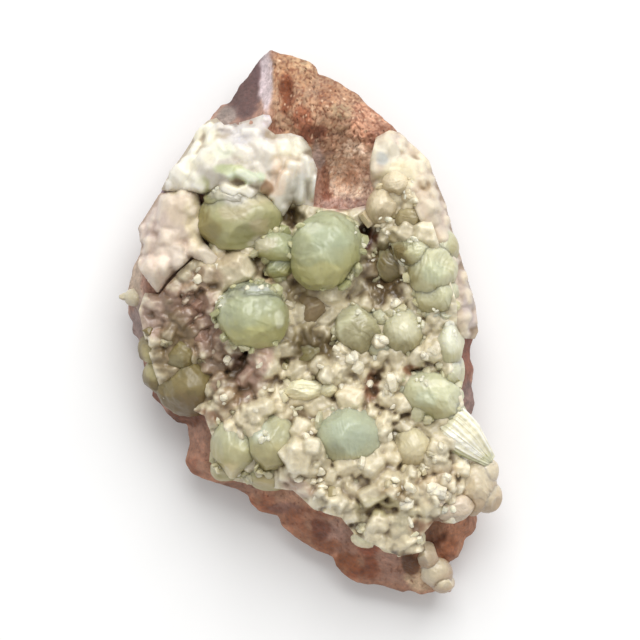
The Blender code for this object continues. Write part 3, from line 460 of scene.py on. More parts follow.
# %% Rock colours
ROCK_BASE = (172, 132, 114)
ROCK_ZONES = [
    (2.0, 36.0, 11.0, 11.0, (176, 138, 108), 1.0), (-3.0, 43.0, 4.0, 4.0, (180, 136, 100), 0.8),
    (5.0, 37.0, 5.0, 4.0, (176, 134, 104), 0.7), (-0.5, 44.0, 2.4, 1.6, (196, 164, 128), 0.8),
    (10.0, 33.5, 4.0, 4.0, (196, 142, 114), 0.7), (-3.7, 38.6, 1.3, 3.4, (128, 70, 38), 1.0),
    (-1.2, 34.0, 1.7, 2.2, (150, 90, 62), 0.9), (0.8, 31.3, 3.2, 1.3, (128, 74, 52), 1.0),
    (-6.3, 31.9, 2.0, 0.9, (172, 122, 98), 1.0), (3.2, 38.0, 1.8, 2.0, (150, 104, 74), 0.7),
    (11.0, 31.0, 1.6, 1.2, (140, 92, 72), 0.8), (13.3, 32.5, 1.4, 1.0, (150, 106, 84), 0.8),
    (5.5, 35.5, 2.0, 1.6, (160, 140, 108), 0.6), (5.5, 30.0, 4.0, 2.2, (196, 152, 124), 0.8),
    # The pit is pale, and (6.6, 24.5) paints it paler still as painted light against the shade of the walls
    # round it.
    (6.6, 24.5, 4.6, 5.2, (248, 222, 198), 1.0), (2.6, 24.0, 0.9, 3.4, (150, 104, 82), 0.8),
    (3.0, 21.4, 1.0, 1.0, (126, 74, 54), 0.8), (8.4, 25.5, 2.4, 2.4, (216, 176, 150), 0.8),
    (6.0, 19.6, 5.0, 1.5, (184, 150, 138), 0.9), (1.6, 27.5, 1.2, 2.6, (168, 146, 140), 0.8),
    (-11.0, 39.0, 3.6, 5.0, (98, 72, 68), 1.0), (-9.0, 43.5, 2.0, 3.0, (92, 68, 68), 1.0),
    (-14.2, 34.6, 2.0, 2.2, (146, 132, 124), 0.9), (-7.2, 40.0, 1.1, 7.0, (196, 180, 182), 0.95),
    (-25.5, 20.5, 2.2, 4.0, (138, 118, 130), 0.9), (-18.0, -21.5, 4.0, 4.5, (158, 122, 106), 0.9),
    (-19.5, -24.5, 2.6, 1.8, (146, 104, 88), 0.8), (-12.0, -28.2, 5.0, 1.2, (142, 112, 100), 0.9),
    (-7.5, -30.8, 3.4, 1.8, (146, 98, 78), 0.9), (-3.0, -29.8, 3.4, 2.0, (176, 142, 124), 0.8),
    (-4.0, -31.6, 3.0, 0.9, (134, 104, 100), 0.7), (0.0, -34.5, 4.0, 3.0, (150, 104, 84), 0.9),
    (2.6, -37.6, 4.0, 2.2, (146, 98, 76), 0.9), (5.2, -35.2, 2.6, 2.6, (160, 132, 124), 0.9),
    (7.0, -39.0, 3.0, 1.6, (160, 126, 114), 0.7), (1.9, -34.6, 1.5, 2.2, (112, 72, 60), 0.8),
    (9.6, -41.5, 4.0, 2.4, (134, 84, 64), 1.0), (6.0, -41.0, 2.4, 1.6, (142, 92, 66), 0.9),
    (10.0, -38.2, 1.8, 1.2, (142, 84, 66), 0.8), (13.6, -40.2, 2.4, 2.2, (168, 136, 124), 0.9),
    (16.0, -43.6, 4.4, 1.8, (160, 128, 116), 0.9), (19.4, -43.4, 3.4, 2.2, (200, 180, 154), 0.9),
    (17.0, -41.0, 1.7, 1.7, (96, 68, 48), 1.0), (21.4, -35.6, 2.6, 3.2, (88, 54, 38), 1.0),
    (25.6, -35.8, 2.6, 2.4, (172, 124, 100), 0.9), (24.0, -38.6, 2.2, 1.8, (158, 108, 84), 0.9),
    (22.4, -41.0, 1.4, 1.2, (128, 84, 60), 0.9), (23.4, -34.2, 2.0, 1.2, (168, 128, 108), 0.7),
    (26.8, -6.0, 1.6, 5.0, (138, 92, 76), 1.0), (27.2, -13.5, 1.4, 4.0, (128, 104, 98), 0.9),
    (-29.0, 0.0, 2.6, 3.6, (150, 130, 124), 0.9), (-27.0, -13.0, 2.2, 2.6, (126, 84, 66), 0.9),
    (-29.4, 8.0, 1.4, 4.6, (196, 176, 156), 0.9), (-22.5, -16.2, 4.5, 1.6, (112, 72, 54), 0.9),
]
# Place and size of the pit, whose cracks are painted pale, as painted light against the shade of the walls
# round it
PIT = (6.4, 24.0, 4.6, 6.0)
CRACK_BROWN = (120, 70, 46)
SPECK_BROWN = (92, 56, 44)
GRIT_BROWN = (92, 56, 42)
DUST = (236, 202, 170)
SIDE_BROWN = (128, 92, 80)
PALE_PATCH = (182, 152, 134)
# Green and blue taken off the lower band
WARMER = (0, 8, 15)


def rock_colours(points):
    """The zones, mottled at two sizes. Then come dark cracks between the rusty lumps, less dark in the pit as
    painted light, dark specks, pale dust on the rust, the rough broken side, and on the lower band pale
    patches and dark grit."""
    x, y, z = points.T
    top = rock_top(x, y)
    smooth_face = smooth_step(inside(x, y, BREAK_FACE), -0.6, 0.4)
    rusty = smooth_step(inside(x, y, RUST_FIELD), -0.8, 1.0)
    below = smooth_step(-y, 12.0, 26.0)
    gap, _ = rust_lumps(np.stack([x, y, 0.6 * top], -1))
    tint = mottled(painted(points, ROCK_BASE, ROCK_ZONES), points, 3.0, 0.07, 60)
    tint = mixed(mottled(tint, points, 0.9, 0.12, 61), tint, 0.5 * smooth_face)
    crack = rusty * (1 - smooth_step(gap, 0.02, 0.13))
    # In the pit the cracks stay paler: painted light against the shade of the walls round it.
    tint = mixed(tint, CRACK_BROWN, crack * (0.75 - 0.6 * bell(x, y, *PIT)))
    specks = smooth_step(rough(points, 0.7, 2, 62), 0.75, 1.1) * (1 - smooth_face)
    tint = mixed(tint, SPECK_BROWN, 0.5 * specks)
    dust = smooth_step(rough(points, 0.5, 2, 63), 0.5, 1.0) * rusty
    tint = mixed(tint, DUST, 0.85 * dust)
    side = mottled(np.tile(SIDE_BROWN, (len(points), 1)), points, 2.0, 0.15, 64)
    tint = mixed(tint, side, 0.55 * smooth_step(top - z, 1.5, 4.0))
    patches = smooth_step(rough(points, 3.0, 3, 65), 0.1, 0.9) * below
    tint = mixed(tint, PALE_PATCH, 0.55 * patches)
    grit = smooth_step(rough(points, 0.6, 3, 66), 0.4, 1.0) * below
    tint = mixed(tint, GRIT_BROWN, 0.5 * grit)
    return tint - below[:, None] * WARMER


rock_tint = rock_colours(rock_skin[0])
print("mean rock colour:", rock_tint.mean(axis=0).round())

# %% [markdown]
# ## Node groups
# Two effects return in all materials: light and dark mottling, and a fine crystalline bump. Each is a node
# group, built once, which gives a plain value. The materials place them with their own sizes. Both read
# Object coordinates in metres, so a scale of 1000 makes lumps of about one millimetre.

# %% Groups
def new_group(name, inputs, output):
    """A node group with a vector input, the named number inputs with their values, and one output."""
    tree = bpy.data.node_groups.new(name, "ShaderNodeTree")
    tree.interface.new_socket("Vector", in_out="INPUT", socket_type="NodeSocketVector")
    for label, value in inputs.items():
        socket = tree.interface.new_socket(label, in_out="INPUT", socket_type="NodeSocketFloat")
        socket.default_value = value
    tree.interface.new_socket(output, in_out="OUTPUT", socket_type="NodeSocketFloat")
    return tree, tree.nodes.new("NodeGroupInput"), tree.nodes.new("NodeGroupOutput")


def feed(tree, socket, value):
    """Sets a plain number on the socket, or links another socket to it."""
    if isinstance(value, float):
        socket.default_value = value
    else:
        tree.links.new(value, socket)


def noise_node(tree, vector, scale, detail, roughness=0.6):
    node = tree.nodes.new("ShaderNodeTexNoise")
    node.inputs["Detail"].default_value = detail
    node.inputs["Roughness"].default_value = roughness
    tree.links.new(vector, node.inputs["Vector"])
    feed(tree, node.inputs["Scale"], scale)
    return node.outputs["Fac"]


def math_node(tree, operation, a, b):
    node = tree.nodes.new("ShaderNodeMath")
    node.operation = operation
    feed(tree, node.inputs[0], a)
    feed(tree, node.inputs[1], b)
    return node.outputs[0]


def spread_node(tree, value, low, high, to_low, to_high):
    """The value from low to high, carried to the range from to_low to to_high and kept inside it."""
    node = tree.nodes.new("ShaderNodeMapRange")
    labels = ("Value", "From Min", "From Max", "To Min", "To Max")
    for label, amount in zip(labels, (value, low, high, to_low, to_high)):
        feed(tree, node.inputs[label], amount)
    return node.outputs["Result"]


def mottle_group():
    """Shade: noise, carried to the range from Dark to Light."""
    tree, given, out = new_group("Mottle", {"Scale": 1000.0, "Dark": 0.85, "Light": 1.1}, "Shade")
    value = noise_node(tree, given.outputs["Vector"], given.outputs["Scale"], 5.0, 0.62)
    shade = spread_node(tree, value, 0.3, 0.7, given.outputs["Dark"], given.outputs["Light"])
    tree.links.new(shade, out.inputs["Shade"])
    return tree


def sugar_group():
    """Height: smooth cells of a Voronoi pattern with fine noise over them."""
    tree, given, out = new_group("Sugar grain", {"Scale": 2000.0, "Fine": 0.3}, "Height")
    cells = tree.nodes.new("ShaderNodeTexVoronoi")
    cells.feature = "SMOOTH_F1"
    tree.links.new(given.outputs["Vector"], cells.inputs["Vector"])
    tree.links.new(given.outputs["Scale"], cells.inputs["Scale"])
    fine_scale = math_node(tree, "MULTIPLY", given.outputs["Scale"], 2.7)
    fine = noise_node(tree, given.outputs["Vector"], fine_scale, 3.0)
    fine = math_node(tree, "MULTIPLY", fine, given.outputs["Fine"])
    height = math_node(tree, "ADD", cells.outputs["Distance"], fine)
    tree.links.new(height, out.inputs["Height"])
    return tree


MOTTLE = mottle_group()
SUGAR = sugar_group()
print("groups:", [tree.name for tree in bpy.data.node_groups])

# %% [markdown]
# ## Materials
# Each material multiplies the painted tint by mottling at two sizes. What sets the minerals apart is how
# light enters them: the rock is dull, the crusts let a little light in, and prehnite glows softly because
# light scatters a few millimetres inside it, below a smooth skin that gives the small highlights.

# %% Material maker
# How far red, green and blue light get inside a crystal, in its depth
SCATTER = (1.0, 0.95, 0.7)
COAT_ROUGHNESS = 0.12
# Refraction of prehnite, which the other minerals come near
BEND = 1.62


def finish(name, roughness, mottles, grain, inner=0.0, depth=1.0, coat=0.0):
    """Principled BSDF. Base Color is the tint times the mottles (scale, dark, light). Roughness varies
    with the finest of them, and the grain (scale, height in millimetres) feeds a Bump node. Inner is the
    share of the light that scatters inside, and depth how far it gets, in millimetres."""
    material = bpy.data.materials.new(name)
    material.use_nodes = True
    tree = material.node_tree
    shader = tree.nodes["Principled BSDF"]
    place = tree.nodes.new("ShaderNodeTexCoord").outputs["Object"]
    tint = tree.nodes.new("ShaderNodeAttribute")
    tint.attribute_name = "tint"
    colour = tint.outputs["Color"]
    shade = None
    for scale, dark, light in mottles:
        node = tree.nodes.new("ShaderNodeGroup")
        node.node_tree = MOTTLE
        tree.links.new(place, node.inputs["Vector"])
        for label, value in zip(("Scale", "Dark", "Light"), (scale, dark, light)):
            node.inputs[label].default_value = value
        mix = tree.nodes.new("ShaderNodeVectorMath")
        mix.operation = "SCALE"
        tree.links.new(colour, mix.inputs[0])
        tree.links.new(node.outputs["Shade"], mix.inputs["Scale"])
        colour = mix.outputs[0]
        shade = node.outputs["Shade"]
    tree.links.new(colour, shader.inputs["Base Color"])
    gloss = spread_node(tree, shade, 0.8, 1.15, roughness * 0.75, min(1.0, roughness * 1.3))
    tree.links.new(gloss, shader.inputs["Roughness"])
    sugar = tree.nodes.new("ShaderNodeGroup")
    sugar.node_tree = SUGAR
    sugar.inputs["Scale"].default_value = grain[0]
    tree.links.new(place, sugar.inputs["Vector"])
    bump = tree.nodes.new("ShaderNodeBump")
    bump.inputs["Strength"].default_value = 1.0
    bump.inputs["Distance"].default_value = grain[1] * MM
    tree.links.new(sugar.outputs["Height"], bump.inputs["Height"])
    tree.links.new(bump.outputs["Normal"], shader.inputs["Normal"])
    shader.inputs["Subsurface Weight"].default_value = inner
    shader.inputs["Subsurface Radius"].default_value = SCATTER
    shader.inputs["Subsurface Scale"].default_value = depth * MM
    shader.inputs["Coat Weight"].default_value = coat
    shader.inputs["Coat Roughness"].default_value = COAT_ROUGHNESS
    shader.inputs["IOR"].default_value = BEND
    return material


ROCK = finish("volcanic_rock", 0.85, ((700.0, 0.86, 1.12), (2200.0, 0.76, 1.2)), (1500.0, 0.25))
MILKY = finish(
    "milky_crust", 0.42, ((400.0, 0.96, 1.03), (1500.0, 0.95, 1.04)), (1300.0, 0.05), inner=0.45, depth=2.0)
BEIGE = finish(
    "beige_crust", 0.5, ((350.0, 0.95, 1.04), (1400.0, 0.95, 1.04)), (1500.0, 0.05), inner=0.35, depth=1.6)
PREHNITE = finish(
    "green_prehnite", 0.36, ((260.0, 0.95, 1.04), (1100.0, 0.96, 1.03)), (900.0, 0.02),
    inner=0.6, depth=3.0, coat=0.15)
OLIVE_PREHNITE = finish(
    "olive_prehnite", 0.42, ((260.0, 0.94, 1.05), (1100.0, 0.96, 1.03)), (900.0, 0.03),
    inner=0.55, depth=2.6, coat=0.1)
CREAM = finish(
    "cream_crystals", 0.34, ((450.0, 0.94, 1.07), (1500.0, 0.9, 1.08)), (1300.0, 0.1),
    inner=0.4, depth=1.0, coat=0.1)
MAUVE = finish("mauve_crystals", 0.4, ((500.0, 0.95, 1.04),), (1500.0, 0.03), inner=0.4, depth=1.8)
BLADES = finish(
    "white_blades", 0.3, ((900.0, 0.95, 1.04),), (1600.0, 0.03), inner=0.35, depth=1.0, coat=0.25)
print("materials:", [m.name for m in bpy.data.materials])

piece("rock", rock_skin, rock_tint, ROCK, "rock", "matrix")

# %% [markdown]
# ## Crystals that grow into each other
# The crusts are made of blocky crystals that merge. One crystal is a box with its twelve edges cut off, so
# it has 18 planes. Seen from above, its top at any place is the lowest of the planes that face up, and it
# exists there only if that is above the highest of the planes that face down. Laid into a grid of heights
# where the higher one wins, thousands of crystals make one crust without a seam.

# %% A field of crystals
PLANES = np.array([d for d in np.ndindex(3, 3, 3)]) - 1
PLANES = PLANES[(np.abs(PLANES).sum(axis=1) == 1) | (np.abs(PLANES).sum(axis=1) == 2)]
REACH = np.where(np.abs(PLANES).sum(axis=1) == 1, 1.0, 1.6)
# Distance of the grid's nodes
STEP = 0.2
NOWHERE = 99.0


def field_over(outline, height):
    """A grid over the outline's box: its x values, its y values, the height at every node, and the number
    of the crystal on top there, which is -1 as long as there is none."""
    low = np.min(outline, axis=0) - 2 * STEP
    high = np.max(outline, axis=0) + 2 * STEP
    x = np.arange(low[0], high[0] + STEP, STEP)
    y = np.arange(low[1], high[1] + STEP, STEP)
    nodes = np.stack(np.meshgrid(x, y, indexing="ij"), -1).reshape(-1, 2)
    return [x, y, height(*nodes.T), np.full(len(nodes), -1)]


def stamp(field, places, sizes, matrices, seed):
    """Raises the field to each crystal's top. A plane with direction n and reach r, seen from the middle,
    is met at the height (r - n.x dx - n.y dy) / n.z."""
    x, y, height, owner = field
    draw = np.random.default_rng(seed)
    normals = np.einsum("nij,nkj->nki", matrices, PLANES / sizes[:, None, :])
    reach = REACH * draw.uniform(0.88, 1.05, (len(places), len(PLANES)))
    lean = np.where(np.abs(normals[..., 2]) < 0.03, 0.03, normals[..., 2])
    half = int(np.ceil(1.25 * sizes.max() / (x[1] - x[0])))
    window = np.arange(-half, half + 1)
    col = np.rint((places[:, 0] - x[0]) / (x[1] - x[0])).astype(int)
    row = np.rint((places[:, 1] - y[0]) / (y[1] - y[0])).astype(int)
    first = owner.max() + 1
    for block in np.array_split(np.arange(len(places)), len(places) * len(window) ** 2 // 100000 + 1):
        i = np.clip(col[block, None] + window, 0, len(x) - 1)
        j = np.clip(row[block, None] + window, 0, len(y) - 1)
        dx = (x[i] - places[block, :1])[:, None, :, None]
        dy = (y[j] - places[block, 1:2])[:, None, None, :]
        n = normals[block][..., None, None]
        up = lean[block][..., None, None]
        at = (reach[block][..., None, None] - n[:, :, 0] * dx - n[:, :, 1] * dy) / up
        top = np.where(up > 0, at, NOWHERE).min(axis=1)
        bottom = np.where(up > 0, -NOWHERE, at).max(axis=1)
        top = np.where(top > bottom, top + places[block, 2, None, None], -NOWHERE)
        spot = i[:, :, None] * len(y) + j[:, None, :]
        np.maximum.at(height, spot, top)
        won = top >= height[spot] - 1e-9
        owner[spot[won]] = (first + block[:, None, None] + 0 * spot)[won]


print("planes of one crystal:", len(PLANES))

# %% [markdown]
# A field is only a grid of heights. To make a piece of it, the part inside the outline is cut out, its edge
# is drawn onto the outline, and walls and an underside close it, sunk in the rock where nobody sees them.

# %% From a field to a skin
def softened(field, share, times):
    """The field's heights, each moved towards the mean of its four neighbours."""
    height = field[2].reshape(len(field[0]), len(field[1]))
    for _ in range(times):
        near = sum(np.roll(height, shift, axis) for shift in (1, -1) for axis in (0, 1)) / 4
        height = height + share * (near - height)
    return height.ravel()


# Height of the point where a sheet's underside closes, and how deep its walls reach into the rock
FLOOR = 6.0
SUNK = 2.0


def sheet(field, outline):
    """A closed skin over the part of the grid inside the outline. Nodes at its edge move onto the outline,
    by their distance times its gradient. Each edge side gets a wall down into the rock and a triangle to
    one point there. Returns the skin and the node that each of its points comes from."""
    x, y, height, _ = field
    wide, long = len(x), len(y)
    plan = np.stack(np.meshgrid(x, y, indexing="ij"), -1).reshape(-1, 2)
    depth = inside(*plan.T, outline)
    node = np.arange(wide * long).reshape(wide, long)
    near = depth.reshape(wide, long) > -0.3 * (x[1] - x[0])
    cell = near[:-1, :-1] & near[1:, :-1] & near[:-1, 1:] & near[1:, 1:]
    quads = np.stack([node[:-1, :-1], node[1:, :-1], node[1:, 1:], node[:-1, 1:]], -1)
    edge = []
    for k, (axis, shift) in enumerate(((1, 1), (0, -1), (1, -1), (0, 1))):
        beside = np.roll(cell, shift, axis)
        open_side = cell & ~beside
        edge.append(quads[open_side][:, [k, (k + 1) % 4]])
    edge = np.concatenate(edge)
    rim = np.unique(edge)
    tiny = 0.01
    slope_x = (inside(plan[rim, 0] + tiny, plan[rim, 1], outline) - depth[rim]) / tiny
    slope_y = (inside(plan[rim, 0], plan[rim, 1] + tiny, outline) - depth[rim]) / tiny
    plan[rim] -= depth[rim, None] * np.stack([slope_x, slope_y], -1)
    used = np.unique(quads[cell])
    number = np.full(wide * long, -1)
    number[used] = np.arange(len(used))
    below = np.full(wide * long, -1)
    below[rim] = len(used) + np.arange(len(rim))
    middle = len(used) + len(rim)
    points = np.concatenate([
        np.column_stack([plan[used], height[used]]),
        np.column_stack([plan[rim] * 0.985, np.minimum(rock_top(*plan[rim].T) - SUNK, height[rim] - 0.5)]),
        [(*plan[used].mean(axis=0), FLOOR)],
    ])
    a, b = edge.T
    walls = np.stack([number[b], number[a], below[a], below[b]], -1)
    under = np.stack([below[b], below[a], np.full(len(a), middle)], -1)
    skin = points, np.concatenate([number[quads[cell]], walls]), under
    return skin, np.concatenate([used, rim, used[:1]])


def grown(field, outline, base, zones, dirt_and_shade, painted_light, vary=0.05):
    """The sheet and its tint: the painted zones, with each crystal a shade lighter or darker. Places below
    the smoothed field take the first of the two last colours, painted shade with some dirt in the recesses,
    and places above it take the second, painted light on the raised crystals."""
    skin, source = sheet(field, outline)
    own = corner_numbers(np.stack([field[3][source]] * 3, -1), 17)
    tint = painted(skin[0], base, zones) * (1 + vary * (2 * own - 1))[:, None]
    relief = (field[2] - softened(field, 0.8, 60))[source]
    tint = mixed(tint, dirt_and_shade, 0.85 * smooth_step(-relief, 0.0, 1.2))
    return skin, mixed(tint, painted_light, 0.7 * smooth_step(relief, 0.1, 1.2))


# %% [markdown]
# The crystals are strewn over the plan at random, but not too unevenly: each keeps near its own place on a
# grid. Each is then tilted and turned at random too.

# %% Strewing crystals
def turns(draw, count, lean):
    """Turning matrices: a tilt of about the lean, in radians, towards any side, after a free turn about Z."""
    spin = draw.uniform(0, 2 * math.pi, count)
    side = draw.uniform(0, 2 * math.pi, count)
    tilt = np.abs(draw.normal(0, lean, count))
    x, y = np.cos(side), np.sin(side)
    c, s = np.cos(spin), np.sin(spin)
    zero = 0 * c
    about_z = np.stack([c, -s, zero, s, c, zero, zero, zero, zero + 1], -1).reshape(-1, 3, 3)
    c, s = np.cos(tilt), np.sin(tilt)
    about_axis = np.stack([
        c + x * x * (1 - c), x * y * (1 - c), y * s,
        x * y * (1 - c), c + y * y * (1 - c), -x * s,
        -y * s, x * s, c,
    ], -1).reshape(-1, 3, 3)
    return about_axis @ about_z


def strewn(outline, cell, margin, draw):
    """A grid of the given cell, each place moved by up to half a cell, less those that aren't inside the
    outline by the margin."""
    low = np.min(outline, axis=0)
    high = np.max(outline, axis=0)
    grid = np.stack(np.meshgrid(np.arange(low[0], high[0], cell), np.arange(low[1], high[1], cell)), -1)
    plan = (grid + draw.uniform(-0.5, 0.5, grid.shape) * cell).reshape(-1, 2)
    return plan[inside(*plan.T, outline) > margin]


def scatter(field, plan, ground, half, spread, flat, lean, lift, seed):
    """Stamps crystals at the plan places, on the ground. Half is their mean half length, spread its
    variation, flat the range of their thickness as a share of it, and lift how far they are raised."""
    draw = np.random.default_rng(seed)
    count = len(plan)
    long = half * np.exp(draw.normal(0, spread, count))
    thick, wide = draw.uniform(*flat, count), draw.uniform(0.5 * (1 + flat[0]), 1, count)
    sizes = long[:, None] * np.column_stack([thick, wide, np.ones(count)])
    z = ground(*plan.T) + lift * draw.uniform(0.3, 1.3, count)
    stamp(field, np.column_stack([plan, z]), sizes, turns(draw, count, lean), seed)
    return count


trial = strewn(HOLLOW_OUTLINE, 2.0, 0.3, np.random.default_rng(0))
print("places strewn 2 mm apart over the hollow:", len(trial))

# %% [markdown]
# Single crystals stand on top of the fields. A block is the same box with cut edges, but its 24 corners are
# shaken, so each of the six blocks is irregular in its own way. All blocks of a piece are laid out in one
# array: the corners, times each crystal's sizes, times its turn, plus its place.

# %% Blocks
def cut_box(cut, seed):
    """Corners (1, 1-c, 1-c) in every order and sign, shaken a little, inside their convex hull."""
    draw = np.random.default_rng(seed)
    signs = np.array(list(np.ndindex(2, 2, 2))) * 2 - 1
    corners = np.concatenate([signs * np.where(np.arange(3) == k, 1, 1 - cut) for k in range(3)])
    corners = corners * draw.uniform(0.78, 1.15, corners.shape)
    bm = bmesh.new()
    for corner in corners:
        bm.verts.new(corner)
    bmesh.ops.convex_hull(bm, input=bm.verts)
    bmesh.ops.delete(bm, geom=[v for v in bm.verts if not v.link_faces], context="VERTS")
    bmesh.ops.recalc_face_normals(bm, faces=bm.faces)
    bm.verts.index_update()
    points = np.array([v.co for v in bm.verts])
    faces = np.array([[v.index for v in face.verts] for face in bm.faces])
    bm.free()
    return points, faces


BLOCKS = [cut_box(cut, seed) for seed, cut in enumerate((0.4, 0.55, 0.45, 0.65, 0.5, 0.6))]
print("corners and faces of the blocks:", [(len(p), len(f)) for p, f in BLOCKS])


def crystals(places, sizes, matrices, tints):
    """One skin and its tints for many crystals. Each takes one of the blocks in turn."""
    skins = []
    shades = []
    for kind, (points, faces) in enumerate(BLOCKS):
        pick = slice(kind, None, len(BLOCKS))
        stretched = points[None] * sizes[pick][:, None, :]
        corners = np.einsum("nij,nkj->nki", matrices[pick], stretched) + places[pick][:, None, :]
        count = len(corners)
        tris = (faces[None] + (np.arange(count) * len(points))[:, None, None]).reshape(-1, 3)
        skins.append((corners.reshape(-1, 3), np.empty((0, 4), int), tris))
        shades.append(np.repeat(tints[pick], len(points), axis=0))
    return joined(skins), np.concatenate(shades)


def pointed(starts, ends, draw):
    """Middles, half lengths and turning matrices of crystals that lie from start to end. Their third axis
    follows the line."""
    along = ends - starts
    length = np.linalg.norm(along, axis=1)
    along = along / length[:, None]
    side = np.cross(along, draw.normal(size=along.shape) * 0.3 + (0, 0, 1))
    side /= np.linalg.norm(side, axis=1)[:, None]
    return (starts + ends) / 2, length / 2, np.stack([side, np.cross(along, side), along], -1)


# %% [markdown]
# ## Crusts
# Three crusts cover the rock: milky at the upper left, beige at the left edge and along the right edge. The
# milky one thins out over the rock at its upper edge and ends in a thick eave at the lower one. Each crust
# is made in the same way: a height over the plan, layers of crystals stamped on it from large to small, a
# little softening, and the sheet with its colours.

# %% Milky crust
WHITE_OUTLINE = [
    (-17.2, 34.1), (-15.6, 34.6), (-14.2, 33.0), (-12.3, 33.4), (-10.0, 34.0), (-7.6, 34.8),
    (-6.5, 34.6), (-6.2, 33.6), (-7.0, 32.4), (-5.6, 31.4), (-3.0, 31.6), (-1.0, 31.0), (0.3, 29.4),
    (0.7, 27.2), (1.4, 25.6), (0.9, 22.0), (0.7, 19.2), (-1.2, 18.9), (-2.8, 20.2), (-4.3, 17.8),
    (-6.2, 17.9), (-6.8, 20.6), (-8.4, 21.0), (-9.6, 20.2), (-12.0, 19.8), (-14.2, 20.4), (-15.6, 21.8),
    (-17.8, 21.6), (-21.0, 21.6), (-25.0, 22.3), (-23.2, 25.4), (-21.4, 28.2), (-20.2, 30.2),
    (-19.0, 32.2),
]
WHITE_ZONES = [
    (-17.5, 31.0, 3.4, 5.0, (238, 232, 206), 0.9), (-21.0, 26.5, 3.0, 3.6, (234, 228, 204), 0.8),
    (-10.5, 31.5, 5.0, 3.2, (206, 200, 196), 0.9), (-14.2, 33.6, 2.0, 1.8, (150, 138, 130), 0.8),
    (-11.0, 34.2, 2.0, 0.7, (170, 156, 150), 0.7), (-8.0, 27.5, 5.0, 3.4, (220, 212, 198), 0.8),
    (-14.0, 28.5, 2.6, 1.6, (212, 216, 192), 0.7), (-13.2, 25.4, 2.4, 1.0, (192, 198, 152), 0.9),
    (-10.0, 24.0, 2.8, 1.2, (198, 208, 178), 0.9), (-12.6, 21.4, 3.6, 1.7, (222, 214, 182), 0.9),
    (-17.6, 23.0, 1.4, 1.6, (176, 176, 122), 0.9), (-4.0, 27.0, 2.6, 3.4, (232, 218, 196), 0.9),
    (-2.4, 29.4, 3.0, 1.8, (232, 228, 206), 0.8), (-5.4, 23.5, 1.5, 2.8, (220, 198, 176), 0.9),
    (-19.5, 23.6, 3.2, 1.6, (230, 226, 210), 0.8), (-6.9, 22.4, 1.0, 1.2, (150, 116, 84), 0.9),
    (0.4, 26.0, 1.0, 2.6, (206, 200, 182), 0.8), (-1.4, 21.8, 1.4, 2.6, (212, 210, 200), 0.8),
    (-11.4, 30.0, 1.2, 1.2, (198, 194, 194), 0.7), (-16.6, 28.6, 1.4, 0.8, (196, 190, 172), 0.6),
    (-7.0, 34.4, 1.2, 2.0, (206, 194, 194), 0.9),
]


# How far the ground of a crust is smoothed, to hide the rock's creases
CRUST_REACH = 1.8


def rim_share(x, y, outline, width):
    """1 at the outline and outside it, 0 from the given width inwards."""
    return 1 - np.clip(inside(x, y, outline) / width, 0, 1)


def white_top(x, y):
    """Softened rock plus a thickness that comes in over 5 mm at the upper edge and 1.6 mm at the lower, a
    peach ridge that runs down beside the upper ball, a hollow over that ball, and swells."""
    lower = smooth_step(-y, -29.5, -24.5)
    rim = rim_share(x, y, WHITE_OUTLINE, 5.0 - 3.4 * lower)
    blunt = 0.5 + 0.5 * np.sqrt(1 - rim ** 2)
    rise = 4.2 * (lower * blunt + (1 - lower) * smooth_step(1 - rim, -0.1, 1.0))
    line = x + 5.0 + 0.12 * (y - 24)
    ridge = 1.3 * np.exp(-(line / 1.3) ** 2) * smooth_step(-y, -30.0, -26.0)
    over_ball = -1.6 * bell(x, y, -12.3, 21.0, 4.5, 1.8)
    return soft_top(x, y, CRUST_REACH) + rise + ridge + over_ball + 0.7 * rough(on_plan(x, y), 4.5, 3, 70)


# Start and end of the long crystals that end in the eave
FINGERS = np.array([
    (-3.6, 25.4, 23.9, -5.6, 19.0, 20.6), (-1.6, 26.6, 23.1, -1.6, 19.8, 19.8),
    (0.3, 27.4, 22.5, 0.7, 20.8, 19.4), (-2.6, 27.0, 24.2, -3.4, 21.8, 21.6),
    (-19.4, 23.2, 23.6, -17.0, 22.2, 23.4), (-15.2, 25.8, 25.0, -12.2, 24.4, 24.6),
    (-12.4, 25.4, 25.0, -8.6, 23.2, 24.0), (-0.8, 28.0, 23.7, -0.2, 23.4, 22.2),
    (-14.8, 22.6, 24.2, -11.6, 21.2, 24.4), (-11.6, 22.4, 24.4, -9.0, 20.8, 23.4),
    (0.9, 24.6, 21.6, 1.2, 21.6, 20.2),
])
white_field = field_over(WHITE_OUTLINE, white_top)
draw = np.random.default_rng(22)
plan = strewn(WHITE_OUTLINE, 1.7, 1.4, draw)
count = scatter(white_field, plan, white_top, 1.7, 0.25, (0.5, 1.0), 0.45, -1.45, 23)
plan = strewn(WHITE_OUTLINE, 1.0, 0.5, draw)
count += scatter(white_field, plan, white_top, 0.7, 0.3, (0.4, 0.9), 0.7, -0.5, 24)
middles, halves, matrices = pointed(FINGERS[:, :3], FINGERS[:, 3:], draw)
wide, thick = draw.uniform(0.9, 1.3, len(halves)), draw.uniform(0.45, 0.7, len(halves))
stamp(white_field, middles - (0, 0, 0.25), np.column_stack([wide, thick, halves]), matrices, 25)
white_field[2] = softened(white_field, 0.7, 4)
# The last two colours are painted shade, with some dirt, in the recesses and painted light on the raised
# crystals.
skin, tint = grown(
    white_field, WHITE_OUTLINE, (210, 203, 190), WHITE_ZONES, dirt_and_shade=(170, 154, 130), painted_light=(232, 227, 216))
print("crystals in the milky crust:", count)
piece("milky_crust_sheet", skin, tint, MILKY, "milky_crust", "white_crust")

# %% [markdown]
# The left plate is a broken slab of the same crust. Streaks run over it to the upper right, so its relief is
# noise stretched along that direction. A small fan of seven crystals spreads from its lower right corner.

